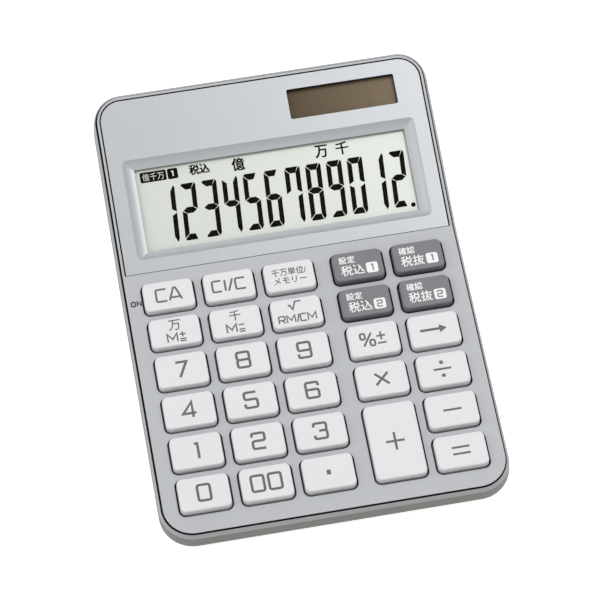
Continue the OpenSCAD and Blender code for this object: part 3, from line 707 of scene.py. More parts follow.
class CALCULATOR_OT_lower_case(bpy.types.Operator):
    """Makes the lower case, with its bosses, its battery well and the seats of its feet"""
    bl_idname = "calculator.lower_case"
    bl_label = "Lower Case"

    def execute(self, context):
        sizes = mm_of(context.scene.calculator_case)
        rail = face_outline(sizes)
        stations = case_profile(sizes)
        wall = sizes["wall"]
        mould = Mould()
        columns, inner = [], []
        for p, out in rail:
            rows = stations(p.y)
            crease, widest = rows[0], rows[5]
            column = [(*(p - out * wall / 2), crease[1])]
            for o, z in rows:       # towards the crease, a place follows the slope of the face
                q = p + out * o
                share = max(0, min(1, (z - EDGE_LEVEL) / (crease[1] - EDGE_LEVEL)))
                column.append((q.x, q.y, z + share * (face_height(q.y) - face_height(p.y))))
            columns.append(column)
            skirt = p - out * wall / 2
            inner.append([(*skirt, face_height(skirt.y) - SKIRT_DROP),
                          (*(p + out * (widest[0] - wall)), widest[1]),
                          (*(p + out * (EDGE_REACH - wall)), FLOOR_LEVEL + 0.1),
                          (*(p + out * (BASE_REACH - wall)), FLOOR_LEVEL)])
        outside = [mould.ring(ring) for ring in zip(*columns)]
        inside = [mould.ring(ring) for ring in zip(*inner)]
        mould.bands(outside)
        mould.bands(outside[:1] + inside)
        # underside: the cover's seat with the cell's hole in it, the screws' pockets, the feet's seats
        cell_r, cell_wall = 6.1, 1.2
        pocket_r, pocket_h, boss_r, boss_h, pilot_r = 1.65, 1.2, 2.5, 3.6, 1.05
        foot_seat_r, sunk = 4.6, FLOOR_LEVEL - 0.2      # bosses start a little below the floor
        around = 40     # steps of a round wall
        cover_low, cover_high = extent(vertices("battery_cover"))
        seat = mould.shaft(box_loop(cover_low, cover_high, SEAT_GAP, 1.6), cover_low.z, cover_high.z)
        cell_box = extent(vertices("button_cell"))
        cx, cy = middle_of(cell_box)
        cell = mould.shaft(circle(cx, cy, cell_r, around), cover_high.z, FLOOR_LEVEL)
        mould.cap([seat[1], cell[0]])
        pockets = [seat[0]]
        screws = solids("case_screws")
        seats = [(box, pocket_r, box[0].z + pocket_h) for box in screws]
        seats += [(box, foot_seat_r, box[1].z) for box in solids("rubber_feet")]
        for box, r, top in seats:
            low_ring, high_ring = mould.shaft(circle(*middle_of(box), r, around), BASE_LEVEL, top)
            mould.cap([high_ring])
            pockets.append(low_ring)
        mould.cap([outside[-1]] + pockets)
        mould.cap([inside[-1], cell[1]])
        for box in screws:      # a boss over each pocket
            seat_z, top, r = box[0].z + pocket_h + 0.01, box[0].z + boss_h, pocket_r + 0.01
            rings = [mould.ring(circle(*middle_of(box), r, around), z) for r, z in (
                (boss_r, sunk), (boss_r, top), (pilot_r, top), (pilot_r, seat_z), (r, seat_z), (r, sunk))]
            mould.bands(rings + rings[:1])
        mould.slab([circle(cx, cy, r, around) for r in (cell_r + cell_wall, cell_r + 0.01)],
                   cell_box[1].z, sunk)
        mould.finish("lower_case_moulded", ["case_plastic"], "taupe_case", replaces=["lower_case"])
        return {"FINISHED"}


# ---- Display ----

class CALCULATOR_OT_display_panel(bpy.types.Operator):
    """Makes the display panel with its soft sloped border and the solar window"""
    bl_idname = "calculator.display_panel"
    bl_label = "Display Panel"

    def execute(self, context):
        sizes = mm_of(context.scene.calculator_display)
        mould = Mould()
        levels = edge_steps(0.08) + [(0.0, -PANEL_T)]
        gap = context.scene.calculator_case.panel_gap / MM
        outer = [mould.ring(panel_loop(gap * (PANEL_SHARE - 1) - inset), z) for inset, z in levels]
        x0, x1 = LENS_BOX[0].x + LENS_LAP, LENS_BOX[1].x - LENS_LAP
        v0, v1 = LENS_BOX[0].y + LENS_LAP, LENS_BOX[1].y - LENS_LAP
        depth = sizes["border_depth"]
        window = []
        steps, hollow = 14, 2.6     # half slope, half cove: steep at its outer edge, gentler at the window
        inner_r, more_r = 0.3, 1.2  # corner radius at the window, and how much more at the outer edge
        for i in range(steps + 1):
            share = i / steps
            side, rear, front = (sizes["border_" + k] * (1 - share) for k in ("side", "rear", "front"))
            down = depth * (0.5 * share + 0.5 * (1 - (1 - share) ** hollow))
            window.append(mould.ring(rounded(x0 - side, x1 + side, v0 - front, v1 + rear,
                                             inner_r + more_r * (1 - share), 8), -down))
        window.append(mould.ring(rounded(x0, x1, v0, v1, inner_r, 8), -PANEL_T))
        solar = [mould.ring(box_loop(*CELL_BOX, inset - CELL_LAP, 0.6 + inset), z) for inset, z in levels]
        # The outer wall, the window's inner wall and the solar window's wall take the painted gap shade
        for rings in (outer, window, solar):
            mould.bands(rings, last=GAP_SHADE)
        mould.cap([outer[0], window[0], solar[0]])
        mould.cap([outer[-1], window[-1], solar[-1]], GAP_SHADE)
        mould.place(PANEL_PLANE)
        mould.finish("display_panel_painted", ["panel_paint", "gap_shade_black"], "silver_panel",
                     replaces=["display_panel"])
        return {"FINISHED"}


SEGMENTS = {"0": "abcdef", "1": "bc", "2": "abged", "3": "abgcd", "4": "fgbc", "5": "afgcd",
            "6": "afgecd", "7": "fabc", "8": "abcdefg", "9": "abcdfg"}


def segment_shapes(w, h, gap):
    """The seven bars of a displayed digit, mitred where they meet."""
    bar, deck, mid, chop = 1.42, 1.95, h * 0.525, 0.6
    g = gap / 2
    return {
        "a": [(chop, h), (w - chop + 0.1 - 2 * g, h), (w - bar - g, h - deck), (bar + 2 * g, h - deck),
              (0.12 + g, h - chop + g)],
        "b": [(w - chop + 0.15 + g, h), (w, h - chop), (w, mid + 2 * g), (w - bar, mid + deck / 2 + g),
              (w - bar, h - deck + g)],
        "c": [(w, mid - 2 * g), (w, chop + 0.4), (w - 0.5, 0.1), (w - 0.62, 0.0 + g), (w - bar, deck - 0.1),
              (w - bar, mid - deck / 2 - g)],
        "d": [(0.15, 0.45), (0.5, 0), (w - 0.75 - 2 * g, 0), (w - bar - 2 * g, deck - 0.05),
              (bar + 0.1, deck)],
        "e": [(0, mid - 2 * g), (bar, mid - deck / 2 - g), (bar, deck + 0.15), (0.05, 0.75), (0, 0.95)],
        "f": [(0, h - chop - g), (0, mid + 2 * g), (bar, mid + deck / 2 + g), (bar, h - deck - g)],
        "g": [(0.2 + g, mid), (bar + g, mid + deck / 2), (w - bar - g, mid + deck / 2), (w - 0.2 - g, mid),
              (w - bar - g, mid - deck / 2), (bar + g, mid - deck / 2)],
    }


class CALCULATOR_OT_display(bpy.types.Operator):
    """Makes the figures on the display glass, dark ones and pale ones"""
    bl_idname = "calculator.display"
    bl_label = "Display Figures"

    def execute(self, context):
        group = context.scene.calculator_display
        sizes = mm_of(group)
        if not group.shown.isdigit():
            raise ValueError("the display shows digits only")
        low, top = GLASS_TOP, GLASS_TOP + 0.03
        lean = math.tan(group.slant)
        right, v0 = 34.6, 8.9       # lower left corner of the last digit
        shapes = segment_shapes(sizes["digit_width"], sizes["digit_height"], gap=0.15)
        mould = Mould()
        for place, digit in enumerate(reversed(group.shown)):
            x0 = right - place * sizes["digit_pitch"]
            for bar in SEGMENTS[digit]:
                mould.slab([[(x0 + x + y * lean, v0 + y) for x, y in shapes[bar]]], top, low)
        mould.slab([circle(right + 5.7, v0 + 0.2, 0.72, 24)], top, low)        # the point
        for x0, x1 in ((-40.2, -32.15), (-31.8, -28.65)):       # dark tiles for the pale marks
            mould.slab([rounded(x0, x1, 28.9, 32.2, 0.45)], top, low)
        for text, x, v, w, h in (("税込", -22.0, 30.7, 6.0, 3.1), ("億", -10.1, 30.3, 3.75, 3.95),
                                 ("万", 15.6, 30.3, 3.8, 3.9), ("千", 22.0, 30.3, 3.75, 3.9)):
            for i in range(4):      # drawn side by side and one below another, for bold strokes
                across, up = (i % 2 - 0.5) * 0.2, (i // 2 - 0.5) * 0.15
                mould.take(words(text, x + across, v + up, w, h, top + i * STEP_UP, low))
        mould.place(PANEL_PLANE)
        mould.finish("display_figures", ["dark_segment"], "lcd_glass")
        pale, raised = Mould(), 0.02
        pale.take(words("億千万", -36.2, 30.55, 6.7, 2.3, top + raised, top))
        write(pale, "1", -30.8, 29.55, w=0.9, h=2.0, line=0.42, base=top, height=raised)
        pale.place(PANEL_PLANE)
        pale.finish("display_figures_pale", ["crystal_glass"], "lcd_glass")
        return {"FINISHED"}


class CALCULATOR_OT_solar_cell(bpy.types.Operator):
    """Makes the solar cell with its divisions"""
    bl_idname = "calculator.solar_cell"
    bl_label = "Solar Cell"

    def execute(self, context):
        low, high = CELL_BOX
        mould = Mould()
        levels = [(inset, high.z + z) for inset, z in edge_steps(0.1, 3)] + [(0.0, low.z)]
        rings = [mould.ring(box_loop(low, high, -inset, 0.3), z) for inset, z in levels]
        mould.bands(rings)
        mould.cap(rings[:1])
        mould.cap(rings[-1:])
        span = high.x - low.x - 2 * CELL_LAP
        half_line, short = 0.12, 0.4        # a division's half width, and how far it ends from the edge
        for share in (0.23, 0.49, 0.75):
            x = low.x + CELL_LAP + span * share
            mould.slab([rounded(x - half_line, x + half_line, low.y + short, high.y - short, 0.1, 2)],
                       high.z + 0.01, high.z - 0.02, 1)
        mould.place(PANEL_PLANE)
        mould.finish("solar_cell_film", ["silicon_film", "cell_division"], "solar_glass",
                     replaces=["solar_cell"])
        return {"FINISHED"}


# ---- Lettering: strokes in a box from 0 to 1, so that a glyph fits any width and height ----

GLYPHS = {  # strokes parted by a bar: @ if closed, ~ if its corners are round, then the points
    "0": "@~ 0,0 1,0 1,1 0,1",
    "1": "0,.97 1,.97 1,0",
    "2": "~ 0,.77 0,1 1,1 1,.5 0,.5 0,0 1,0",
    "3": "~ 0,.77 0,1 1,1 1,.51 .4,.51 | ~ .5,.51 1,.51 1,0 0,0 0,.24",
    "4": ".74,0 .74,1 0,.27 .5,.27 | .4,.27 1,.27",
    "5": "~ .97,1 0,1 0,.54 1,.54 1,0 0,0 0,.26",
    "6": "@~ 0,0 1,0 1,.53 0,.53 | ~ 0,.25 0,1 1,1 1,.75",
    "7": "0,1 1,1 .24,0",
    "8": "@~ 0,0 1,0 1,.5 0,.5 | @~ 0,.5 1,.5 1,1 0,1",
    "9": "@~ 0,.47 1,.47 1,1 0,1 | ~ 1,.75 1,0 0,0 0,.25",
    "A": "0,0 .41,1 .59,1 1,0 | .17,.22 .83,.22",
    "C": "~ 1,1 0,1 0,0 1,0",
    "I": ".5,0 .5,1",
    "M": "0,0 0,1 .5,.3 1,1 1,0",
    "N": "0,0 0,1 1,0 1,1",
    "O": "@~ 0,0 1,0 1,1 0,1",
    "R": "~ 0,0 0,1 1,1 1,.45 .5,.45 | 0,.45 .5,.45 1,0",
    "/": "0,-.05 1,1.05",
    "-": "0,.5 1,.5",
    "+": "0,.5 1,.5 | .5,0 .5,1",
    "x": "0,0 1,1 | 0,1 1,0",
    "root": "0,.5 .13,.6 .32,0 .56,1 1,1",
    "percent": "@~ 0,.55 .34,.55 .34,1 0,1 | @~ .66,0 1,0 1,.45 .66,.45 | .17,.02 .83,1",
}


def soften(points, r, closed):
    """Rounds the corners of a path."""
    steps = 4
    soft = []
    count = len(points)
    for i, p in enumerate(points):
        if not closed and i in (0, count - 1):
            soft.append(p)
            continue
        a, b = points[i - 1] - p, points[(i + 1) % count] - p
        reach = min(r, a.length * 0.48, b.length * 0.48)
        start, end = p + a.normalized() * reach, p + b.normalized() * reach
        for k in range(steps + 1):
            t = k / steps
            soft.append(start.lerp(p, t).lerp(p.lerp(end, t), t))
    return soft


def stroke(mould, points, width, base, height, closed=False, material=0):
    """A raised line of even width along a path."""
    count = len(points)
    sides = ([], [])
    for i, p in enumerate(points):
        before = p - points[i - 1] if closed or i > 0 else points[1] - p
        after = points[(i + 1) % count] - p if closed or i < count - 1 else before
        a, b = before.normalized(), after.normalized()
        mitre = Vector((-a.y - b.y, a.x + b.x))
        if mitre.length < 0.3:
            mitre = Vector((-a.y, a.x))
        mitre.normalize()
        reach = width / 2 / max(0.45, mitre.dot(Vector((-a.y, a.x))))
        sides[0].append(p + mitre * reach)
        sides[1].append(p - mitre * reach)
    if closed:
        mould.slab([sides[1], sides[0]], base + height, base - 0.05, material)
    else:
        mould.slab([sides[1] + sides[0][::-1]], base + height, base - 0.05, material)


def write(mould, glyph, x, y, w, h, line, base, height, material=0):
    """Draws one glyph in the box whose lower left corner is x, y."""
    round_r = min(0.7, h * 0.13)
    left, low = x + line / 2, y + line / 2
    for k, text in enumerate(GLYPHS[glyph].split("|")):
        closed = "@" in text
        points = [[float(share) for share in pair.split(",")] for pair in text.strip("@~ ").split()]
        path = [Vector((left + across * (w - line), low + up * (h - line))) for across, up in points]
        if "~" in text:
            path = soften(path, round_r, closed)
        stroke(mould, path, line, base, height + STEP_UP * k, closed, material)


def words(text, x, y, w, h, top, base):
    """Function words as a flat raised mesh, fitted to a box about x, y."""
    curve = bpy.data.curves.new("words", "FONT")
    curve.body = text
    curve.size = 1.0
    curve.resolution_u = 3
    curve.fill_mode = "FRONT"
    holder = linked("words", curve)
    data = plain_mesh(holder)
    bpy.data.objects.remove(holder)
    bpy.data.curves.remove(curve)
    flat = bmesh.new()
    flat.from_mesh(data)
    bmesh.ops.remove_doubles(flat, verts=flat.verts, dist=1e-5)
    low, high = extent([v.co for v in flat.verts])
    for v in flat.verts:
        v.co.x = x + ((v.co.x - low.x) / (high.x - low.x) - 0.5) * w
        v.co.y = y + ((v.co.y - low.y) / (high.y - low.y) - 0.5) * h
        v.co.z = base
    rim = [edge.verts[:] for edge in flat.edges if edge.is_boundary]
    raised = {v: flat.verts.new((v.co.x, v.co.y, top)) for v in flat.verts[:]}
    for f in flat.faces[:]:
        flat.faces.new([raised[v] for v in f.verts])
    for a, b in rim:
        flat.faces.new((a, b, raised[b], raised[a]))
    flat.to_mesh(data)
    flat.free()
    return data


# ---- Key caps ----

# The sums in a cap's tree, in turn: the name of each, how it is worked out and from what
CAP_SUMS = """
    column MULTIPLY u columns           # a corner's column and row in the grid, as whole numbers
    column ROUND column
    row MULTIPLY v last_row
    row ROUND row
    turn ADD column 0.5                 # the column's direction from the middle
    turn MULTIPLY turn column_turn
    east COSINE turn
    north SINE turn
    risen SUBTRACT row 1                # 0 at the base, 1 from the wall's top
    risen MAXIMUM risen 0
    risen MINIMUM risen 1
    bend SUBTRACT row 2                 # how far the soft edge has turned
    bend DIVIDE bend edge_rows
    bend MAXIMUM bend 0
    bend MINIMUM bend 1
    bend MULTIPLY bend quarter_turn
    inset COSINE bend                   # how far the row lies inside the base's outline
    inset SUBTRACT 1 inset
    inset MULTIPLY edge inset
    inset MULTIPLY_ADD draft risen inset
    z SUBTRACT height edge              # and its height
    z ADD z skirt
    z MULTIPLY z risen
    z SUBTRACT z skirt
    crest SINE bend
    z MULTIPLY_ADD edge crest z
    inner GREATER_THAN row 0.5          # 0 for the first row and the last, which close in the middle
    under_top LESS_THAN row top_row
    inner MULTIPLY inner under_top
    radius SUBTRACT corner inset
    x MULTIPLY width 0.5
    x SUBTRACT x corner
    side SIGN east
    x MULTIPLY x side
    x MULTIPLY_ADD radius east x
    x MULTIPLY x inner
    y MULTIPLY depth 0.5
    y SUBTRACT y corner
    side SIGN north
    y MULTIPLY y side
    y MULTIPLY_ADD radius north y
    y MULTIPLY y inner
    thin MULTIPLY wall -2               # the hollow, from below the base up to the roof
    hollow_w ADD width thin
    hollow_d ADD depth thin
    roof SUBTRACT height roof
    deep ADD roof skirt
    hollow_h ADD deep 1
    hollow_z MULTIPLY hollow_h 0.5
    hollow_z SUBTRACT roof hollow_z
    stem_h ADD deep 0.3                 # the stem, from the base into the roof
    stem_z MULTIPLY stem_h 0.5
    stem_z SUBTRACT stem_z skirt
    lip_w MULTIPLY_ADD corner -2 width  # the lips that hold the cap in, behind and in front
    lip_d ADD lip lip_root
    lip_z SUBTRACT lip_middle skirt
    lip_y ADD depth lip
    lip_y SUBTRACT lip_y lip_root
    lip_y MULTIPLY lip_y 0.5
    lip_front MULTIPLY lip_y -1
"""


def cap_tree():
    """Geometry Nodes for a moulded cap: a rounded rectangle with drafted walls and a soft top edge."""
    tree = bpy.data.node_groups.new("moulded_cap", "GeometryNodeTree")
    tree.interface.new_socket(name="Geometry", in_out="OUTPUT", socket_type="NodeSocketGeometry")
    lengths = "Width Depth Height Skirt Corner Edge Draft Wall Roof Post Lip".split()
    inputs = [(name, "Float") for name in lengths] + [("Hollow", "Bool"), ("Material", "Material")]
    for name, kind in inputs:
        tree.interface.new_socket(name=name, in_out="INPUT", socket_type="NodeSocket" + kind)
    given = add(tree, "NodeGroupInput").outputs
    side_steps, edge_rows = 10, 5       # steps round a corner, and down the soft edge
    # rows: the middle of the base, the base's edge, the wall's top, the soft edge, the middle of the top
    around, rows = 4 * side_steps, edge_rows + 4
    grid = add(tree, "GeometryNodeMeshGrid", Size_X=1.0, Size_Y=1.0, Vertices_X=around + 1, Vertices_Y=rows)
    uv = add(tree, "ShaderNodeSeparateXYZ", Vector=grid.outputs["UV Map"]).outputs
    lip_t, lip_rise, lip_root = 0.88, 0.02, 0.4     # just above the base, so that no faces coincide
    value = {name.lower(): given[name] for name in lengths}
    value.update(
        u=uv[0], v=uv[1], columns=float(around), last_row=float(rows - 1), top_row=rows - 1.5,
        edge_rows=float(edge_rows), column_turn=2 * math.pi / around, quarter_turn=math.pi / 2,
        centre=0.0, lip_t=lip_t, lip_middle=lip_t / 2 + lip_rise, lip_root=lip_root)
    for line in CAP_SUMS.strip().splitlines():
        name, operation, *terms = line.split("#")[0].split()
        terms = {"n%d" % i: value[term] if term in value else float(term) for i, term in enumerate(terms)}
        value[name] = add(tree, "ShaderNodeMath", {"operation": operation}, **terms).outputs[0]
    spot = add(tree, "ShaderNodeCombineXYZ", X=value["x"], Y=value["y"], Z=value["z"])
    cap = add(tree, "GeometryNodeSetPosition", Geometry=grid.outputs["Mesh"], Position=spot.outputs[0])
    solid = add(tree, "GeometryNodeMergeByDistance", Geometry=cap.outputs[0], Distance=1e-3)
    blocks = []     # the hollow and the two lips: width, depth, height, then place
    for names in ("hollow_w hollow_d hollow_h centre hollow_z", "lip_w lip_d lip_t lip_y lip_z",
                  "lip_w lip_d lip_t lip_front lip_z"):
        w, d, h, y, z = (value[name] for name in names.split())
        size = add(tree, "ShaderNodeCombineXYZ", X=w, Y=d, Z=h)
        cube = add(tree, "GeometryNodeMeshCube", Size=size.outputs[0])
        spot = add(tree, "ShaderNodeCombineXYZ", Y=y, Z=z)
        blocks.append(add(tree, "GeometryNodeTransform", Geometry=cube.outputs["Mesh"],
                          Translation=spot.outputs[0]).outputs[0])
    shell = add(tree, "GeometryNodeMeshBoolean", {"operation": "DIFFERENCE"}, Mesh_1=solid.outputs[0])
    tree.links.new(blocks[0], shell.inputs["Mesh 2"])
    stem = add(tree, "GeometryNodeMeshCylinder", Vertices=32, Radius=value["post"], Depth=value["stem_h"])
    spot = add(tree, "ShaderNodeCombineXYZ", Z=value["stem_z"])
    stem = add(tree, "GeometryNodeTransform", Geometry=stem.outputs["Mesh"], Translation=spot.outputs[0])
    whole = add(tree, "GeometryNodeMeshBoolean", {"operation": "UNION"})
    for part in (shell.outputs["Mesh"], stem.outputs[0], *blocks[1:]):
        tree.links.new(part, whole.inputs["Mesh 2"])
    chosen = add(tree, "GeometryNodeSwitch", {"input_type": "GEOMETRY"}, Switch=given["Hollow"],
                 n1=solid.outputs[0], n2=whole.outputs["Mesh"])
    real = add(tree, "GeometryNodeRealizeInstances", Geometry=chosen.outputs[0])
    coated = add(tree, "GeometryNodeSetMaterial", Geometry=real.outputs[0], Material=given["Material"])
    add(tree, "NodeGroupOutput", Geometry=coated.outputs[0])
    return tree


def moulded_cap(tree, **given):
    """One cap as a plain mesh, in millimetres."""
    kinds = {"NodeSocketFloat": float, "NodeSocketBool": bool}
    holder = linked("cap", bpy.data.meshes.new("cap"))
    shape = holder.modifiers.new("shape", "NODES")
    shape.node_group = tree
    for item in tree.interface.items_tree:
        if item.in_out == "INPUT":
            value = given.get(item.name.lower(), 0)
            shape[item.identifier] = kinds[item.socket_type](value) if item.socket_type in kinds else value
    data = plain_mesh(holder)
    old = holder.data
    bpy.data.objects.remove(holder)
    bpy.data.meshes.remove(old)
    return data


LEGENDS = {  # for each mark: glyph, middle across and up, width, height, then line width or corner radius
    "point": "dot 0 -.05 1.25 1.5 .08",
    "plus": "+ 0 -.35 6.25 6.4 .72",
    "equals": "- 0 1.1 5.85 .66 .66 | - 0 -.95 5.85 .66 .66",
    "minus": "- .05 0 6.1 .68 .68",
    "multiply": "x -.05 .05 4.65 4.5 .74",
    "divide": "- -.2 .1 6 .66 .66 | dot -.2 2.25 1.1 1.1 .2 | dot -.2 -2.05 1.1 1.1 .3",
    "percent": "percent -1.85 0 4.7 4.9 .6 | + 2.25 .75 3.2 3.2 .56 | - 2.25 -1.6 3.2 .56 .56",
    "clear_all": "C -2.2 .05 3.7 4.65 .62 | A 1.95 .05 4.3 4.65 .6",
    "clear": "C -3.7 .1 3.3 4.2 .6 | I -1.2 .1 .6 4.2 .6 | / .45 .1 2.1 4.2 .6 | C 3.4 .1 3.5 4.2 .6",
    "unit": "千万単位/ .05 1.45 10.4 2.5 | メモリー .05 -1.45 9.8 2.1",
    "memory_add": "万 .1 2 3.5 3.4 | M -1.1 -2.1 3.4 3.2 .5 | + 2 -1.3 2.2 2.1 .44"
                  " | - 2 -2.8 2.2 .44 .44 | - 2 -3.5 2.2 .44 .44",
    "memory_total": "千 0 2 3.3 3.25 | M -1.6 -2.1 3.4 3.2 .5 | - 1.45 -1.25 2.1 .44 .44"
                    " | - 1.45 -2.75 2.1 .44 .44 | - 1.45 -3.5 2.1 .44 .44",
    "memory_recall": "root -.25 2.2 4.5 3.1 .5 | R -4.75 -2.05 2.25 2.75 .44 | M -2 -2.05 2.85 2.75 .44"
                     " | / .15 -2.05 1.1 2.75 .44 | C 1.75 -2.05 2.25 2.75 .44 | M 4.3 -2.05 2.85 2.75 .44",
    "tax_in": "設定 -3.1 2.1 4.8 2.35 | 税込 -1.85 -1.45 7 3.4 | dot 4.05 -1.5 3.55 3.45 .65",
    "tax_out": "確認 -3.1 2.1 4.8 2.35 | 税抜 -1.85 -1.45 7 3.4 | dot 4.05 -1.5 3.55 3.45 .65",
}
DIGIT_WIDTHS = {"1": 1.75, "4": 4.7, "7": 4.0}      # in place of a digit's usual width


def legend(mould, name, sizes, top):
    """Prints a key's legend about the middle of its top."""
    raised = sizes["print_height"]
    digit_w, digit_h, line = sizes["digit_width"], sizes["digit_height"], sizes["digit_stroke"]
    base = top - 0.05       # the print reaches a little into the cap

    def put(glyph, x, y, w, h, thick=line):
        write(mould, glyph, x - w / 2, y - h / 2, w, h, thick, top, raised, INK)

    tail = name[len("key_"):]
    if tail == "00":
        for x in (-2.55, 2.55):
            put("0", x, 0, digit_w, digit_h)
    elif tail.isdigit():
        put(tail, 0, 0, DIGIT_WIDTHS.get(tail, digit_w), digit_h)
    elif tail == "back":    # an arrow
        shaft, head, half, half_head = 5.8, 2.25, 0.41, 1.35
        x0 = -(shaft + head) / 2 - 0.25
        neck = x0 + shaft
        mould.slab([[(x0, half), (x0, -half), (neck, -half), (neck, -half_head), (neck + head, 0),
                     (neck, half_head), (neck, half)]], top + raised, base, INK)
    else:
        for mark in LEGENDS[tail.rstrip("_12")].split("|"):
            glyph, *numbers = mark.split()
            x, y, w, h, *more = [float(number) for number in numbers]
            if glyph in GLYPHS:
                put(glyph, x, y, w, h, *more)
            elif glyph == "dot":
                tile = rounded(x - w / 2, x + w / 2, y - h / 2, y + h / 2, *more, 4)
                mould.slab([tile], top + raised, base, INK)
            else:
                for i, shift in enumerate((-0.05, 0.05)):   # drawn twice, side by side, for bolder strokes
                    mould.take(words(glyph, x + shift, y + shift, w, h, top + raised + i * STEP_UP, base),
                               material=INK)
    if tail.startswith("tax"):      # the number stands on its square, in the cap's own colour
        number = tail[-1]
        wide = 0.9 if number == "1" else 1.9
        write(mould, number, 4.05 - wide / 2, -1.5 - 1.2, wide, 2.4, 0.42, top + raised, 0.02)


class CALCULATOR_OT_keys(bpy.types.Operator):
    """Makes the 29 key caps, each with its printed legend, on their own bodies"""
    bl_idname = "calculator.keys"
    bl_label = "Key Caps"

    def execute(self, context):
        sizes = mm_of(context.scene.calculator_keys)
        tree = cap_tree()
        longest_hollow = 15     # the long plus key is left solid
        caps = {}
        for name in KEYS:
            low, high = KEY_TOPS[name]
            grey = name in GREY_KEYS
            plastic, ink, slot = (("grey_cap", "white_ink", "grey_keys") if grey
                                  else ("white_cap", "grey_ink", "white_keys"))
            depth = round(high.y - low.y, 3)
            skirt = -within(name, KEY_PLANE)[0].z
            if (grey, depth) not in caps:
                caps[grey, depth] = moulded_cap(
                    tree, material=finish_of(plastic), width=high.x - low.x, depth=depth, height=high.z,
                    skirt=skirt, corner=sizes["corner"], edge=sizes["edge"], draft=sizes["draft"],
                    wall=1.1, roof=1.3, post=2.2, lip=0.8, hollow=depth < longest_hollow)
            mould = Mould()
            mould.take(caps[grey, depth])
            legend(mould, name, sizes, high.z)
            if name == "key_5":     # a shallow ring, so that a finger finds the middle key
                add_ring(mould, 5.0, 0.16, high.z - 0.1)
            middle = Matrix.Translation(((low.x + high.x) / 2, (low.y + high.y) / 2, 0))
            mould.place(KEY_PLANE @ middle)
            mould.finish(name + "_cap", [plastic, ink], slot, body=name, replaces=[name])
        for data in caps.values():
            bpy.data.meshes.remove(data)
        return {"FINISHED"}


def add_ring(mould, radius, tube, level):
    """A round bead, sunk so that only its crest stands out."""
    around, section = 72, 10
    rings = []
    for i in range(section):
        a = 2 * math.pi * i / section
        r = radius + tube * math.cos(a)
        rings.append(mould.ring(circle(0, 0, r, around), level + tube * math.sin(a)))
    mould.bands(rings + rings[:1])


# ---- Underside and works ----

class CALCULATOR_OT_base(bpy.types.Operator):
    """Makes the rubber feet and the battery cover"""
    bl_idname = "calculator.base"
    bl_label = "Feet and Battery Cover"

    def execute(self, context):
        tree = cap_tree()
        high = extent(vertices("rubber_feet"))[1]
        foot_d = 9.0
        foot = moulded_cap(tree, material=finish_of("foot_rubber"), width=foot_d, depth=foot_d,
                           height=high.z, corner=foot_d / 2 - 0.001, edge=0.45)
        feet = Mould()
        upside_down = Matrix.Translation((0, 0, high.z)) @ Matrix.Rotation(math.pi, 4, "X")
        for box in solids("rubber_feet"):
            feet.take(foot, Matrix.Translation((*middle_of(box), 0)) @ upside_down)
        feet.finish("rubber_feet_moulded", ["foot_rubber"], "foot_rubber", replaces=["rubber_feet"])
        bpy.data.meshes.remove(foot)
        low, high = extent(vertices("battery_cover"))
        x, y = middle_of(extent(vertices("battery_cover_screw")))
        cover = Mould()
        corner, head_r, head_h, shank_r = 1.5, 1.65, 0.7, 1.05
        rings = [cover.ring(box_loop(low, high, -inset, corner - inset, 5), low.z - z)
                 for inset, z in edge_steps(0.25, 3)]
        rings.append(cover.ring(box_loop(low, high, 0, corner, 5), high.z))
        hole = [cover.ring(circle(x, y, r, 24), z) for r, z in (
            (head_r, low.z), (head_r, low.z + head_h), (shank_r, low.z + head_h), (shank_r, high.z))]
        cover.bands(rings)
        cover.bands(hole)
        cover.cap([rings[0], hole[0]])
        cover.cap([rings[-1], hole[-1]])
        grip_x, grip_w, pitch, short = low.x + 3.2, 1.0, 1.6, 4
        for i in range(4):      # grip ribs at the end away from the screw
            x0 = grip_x + i * pitch
            cover.slab([rounded(x0, x0 + grip_w, low.y + short, high.y - short, 0.45, 4)],
                       low.z + 0.1, low.z - 0.15)
        cover.finish("battery_cover_moulded", ["case_plastic"], "taupe_case", replaces=["battery_cover"])
        return {"FINISHED"}


class CALCULATOR_OT_works(bpy.types.Operator):
    """Gives the solids inside, the window and the screws their materials"""
    bl_idname = "calculator.works"
    bl_label = "Works"

    def execute(self, context):
        finishes = {
            "display_window": "clear_acrylic", "lcd_frame": "frame_plastic", "lcd_glass": "crystal_glass",
            "lcd_reflector": "silvered_film", "lcd_ribbon": "amber_film", "solar_wires": "wire_jacket",
            "key_membrane": "silicone", "main_board": "solder_mask", "chip_cover": "epoxy",
            "capacitor": "sleeve", "button_cell": "nickel", "battery_contact_top": "nickel",
            "battery_contact_base": "nickel", "battery_wires": "wire_jacket",
            "battery_cover_screw": "zinc_screw", "case_screws": "zinc_screw", "board_screws": "zinc_screw"}
        for node, finish in finishes.items():
            solid = frame["nodes"][node]
            if not solid.material_slots:
                raise ValueError(node + " has no material slot")
            for slot in solid.material_slots:
                slot.material = finish_of(finish)
        return {"FINISHED"}


# ---- Stage ----

def look_at(place, target):
    """A lamp's matrix, shining from a place at a target."""
    return Matrix.Translation(place) @ (target - place).to_track_quat("-Z", "Y").to_matrix().to_4x4()


FLOOR_LIFT = 0.78   # glow of the floor where it is seen directly


def seen_directly(tree):
    """1 for what the camera sees, also through glass or in a mirror, and 0 for light on the scene."""
    rays = add(tree, "ShaderNodeLightPath").outputs
    seen = rays["Is Camera Ray"]
    for ray in ("Is Glossy Ray", "Is Transmission Ray"):
        seen = add(tree, "ShaderNodeMath", {"operation": "MAXIMUM"}, n0=seen, n1=rays[ray]).outputs[0]
    return seen


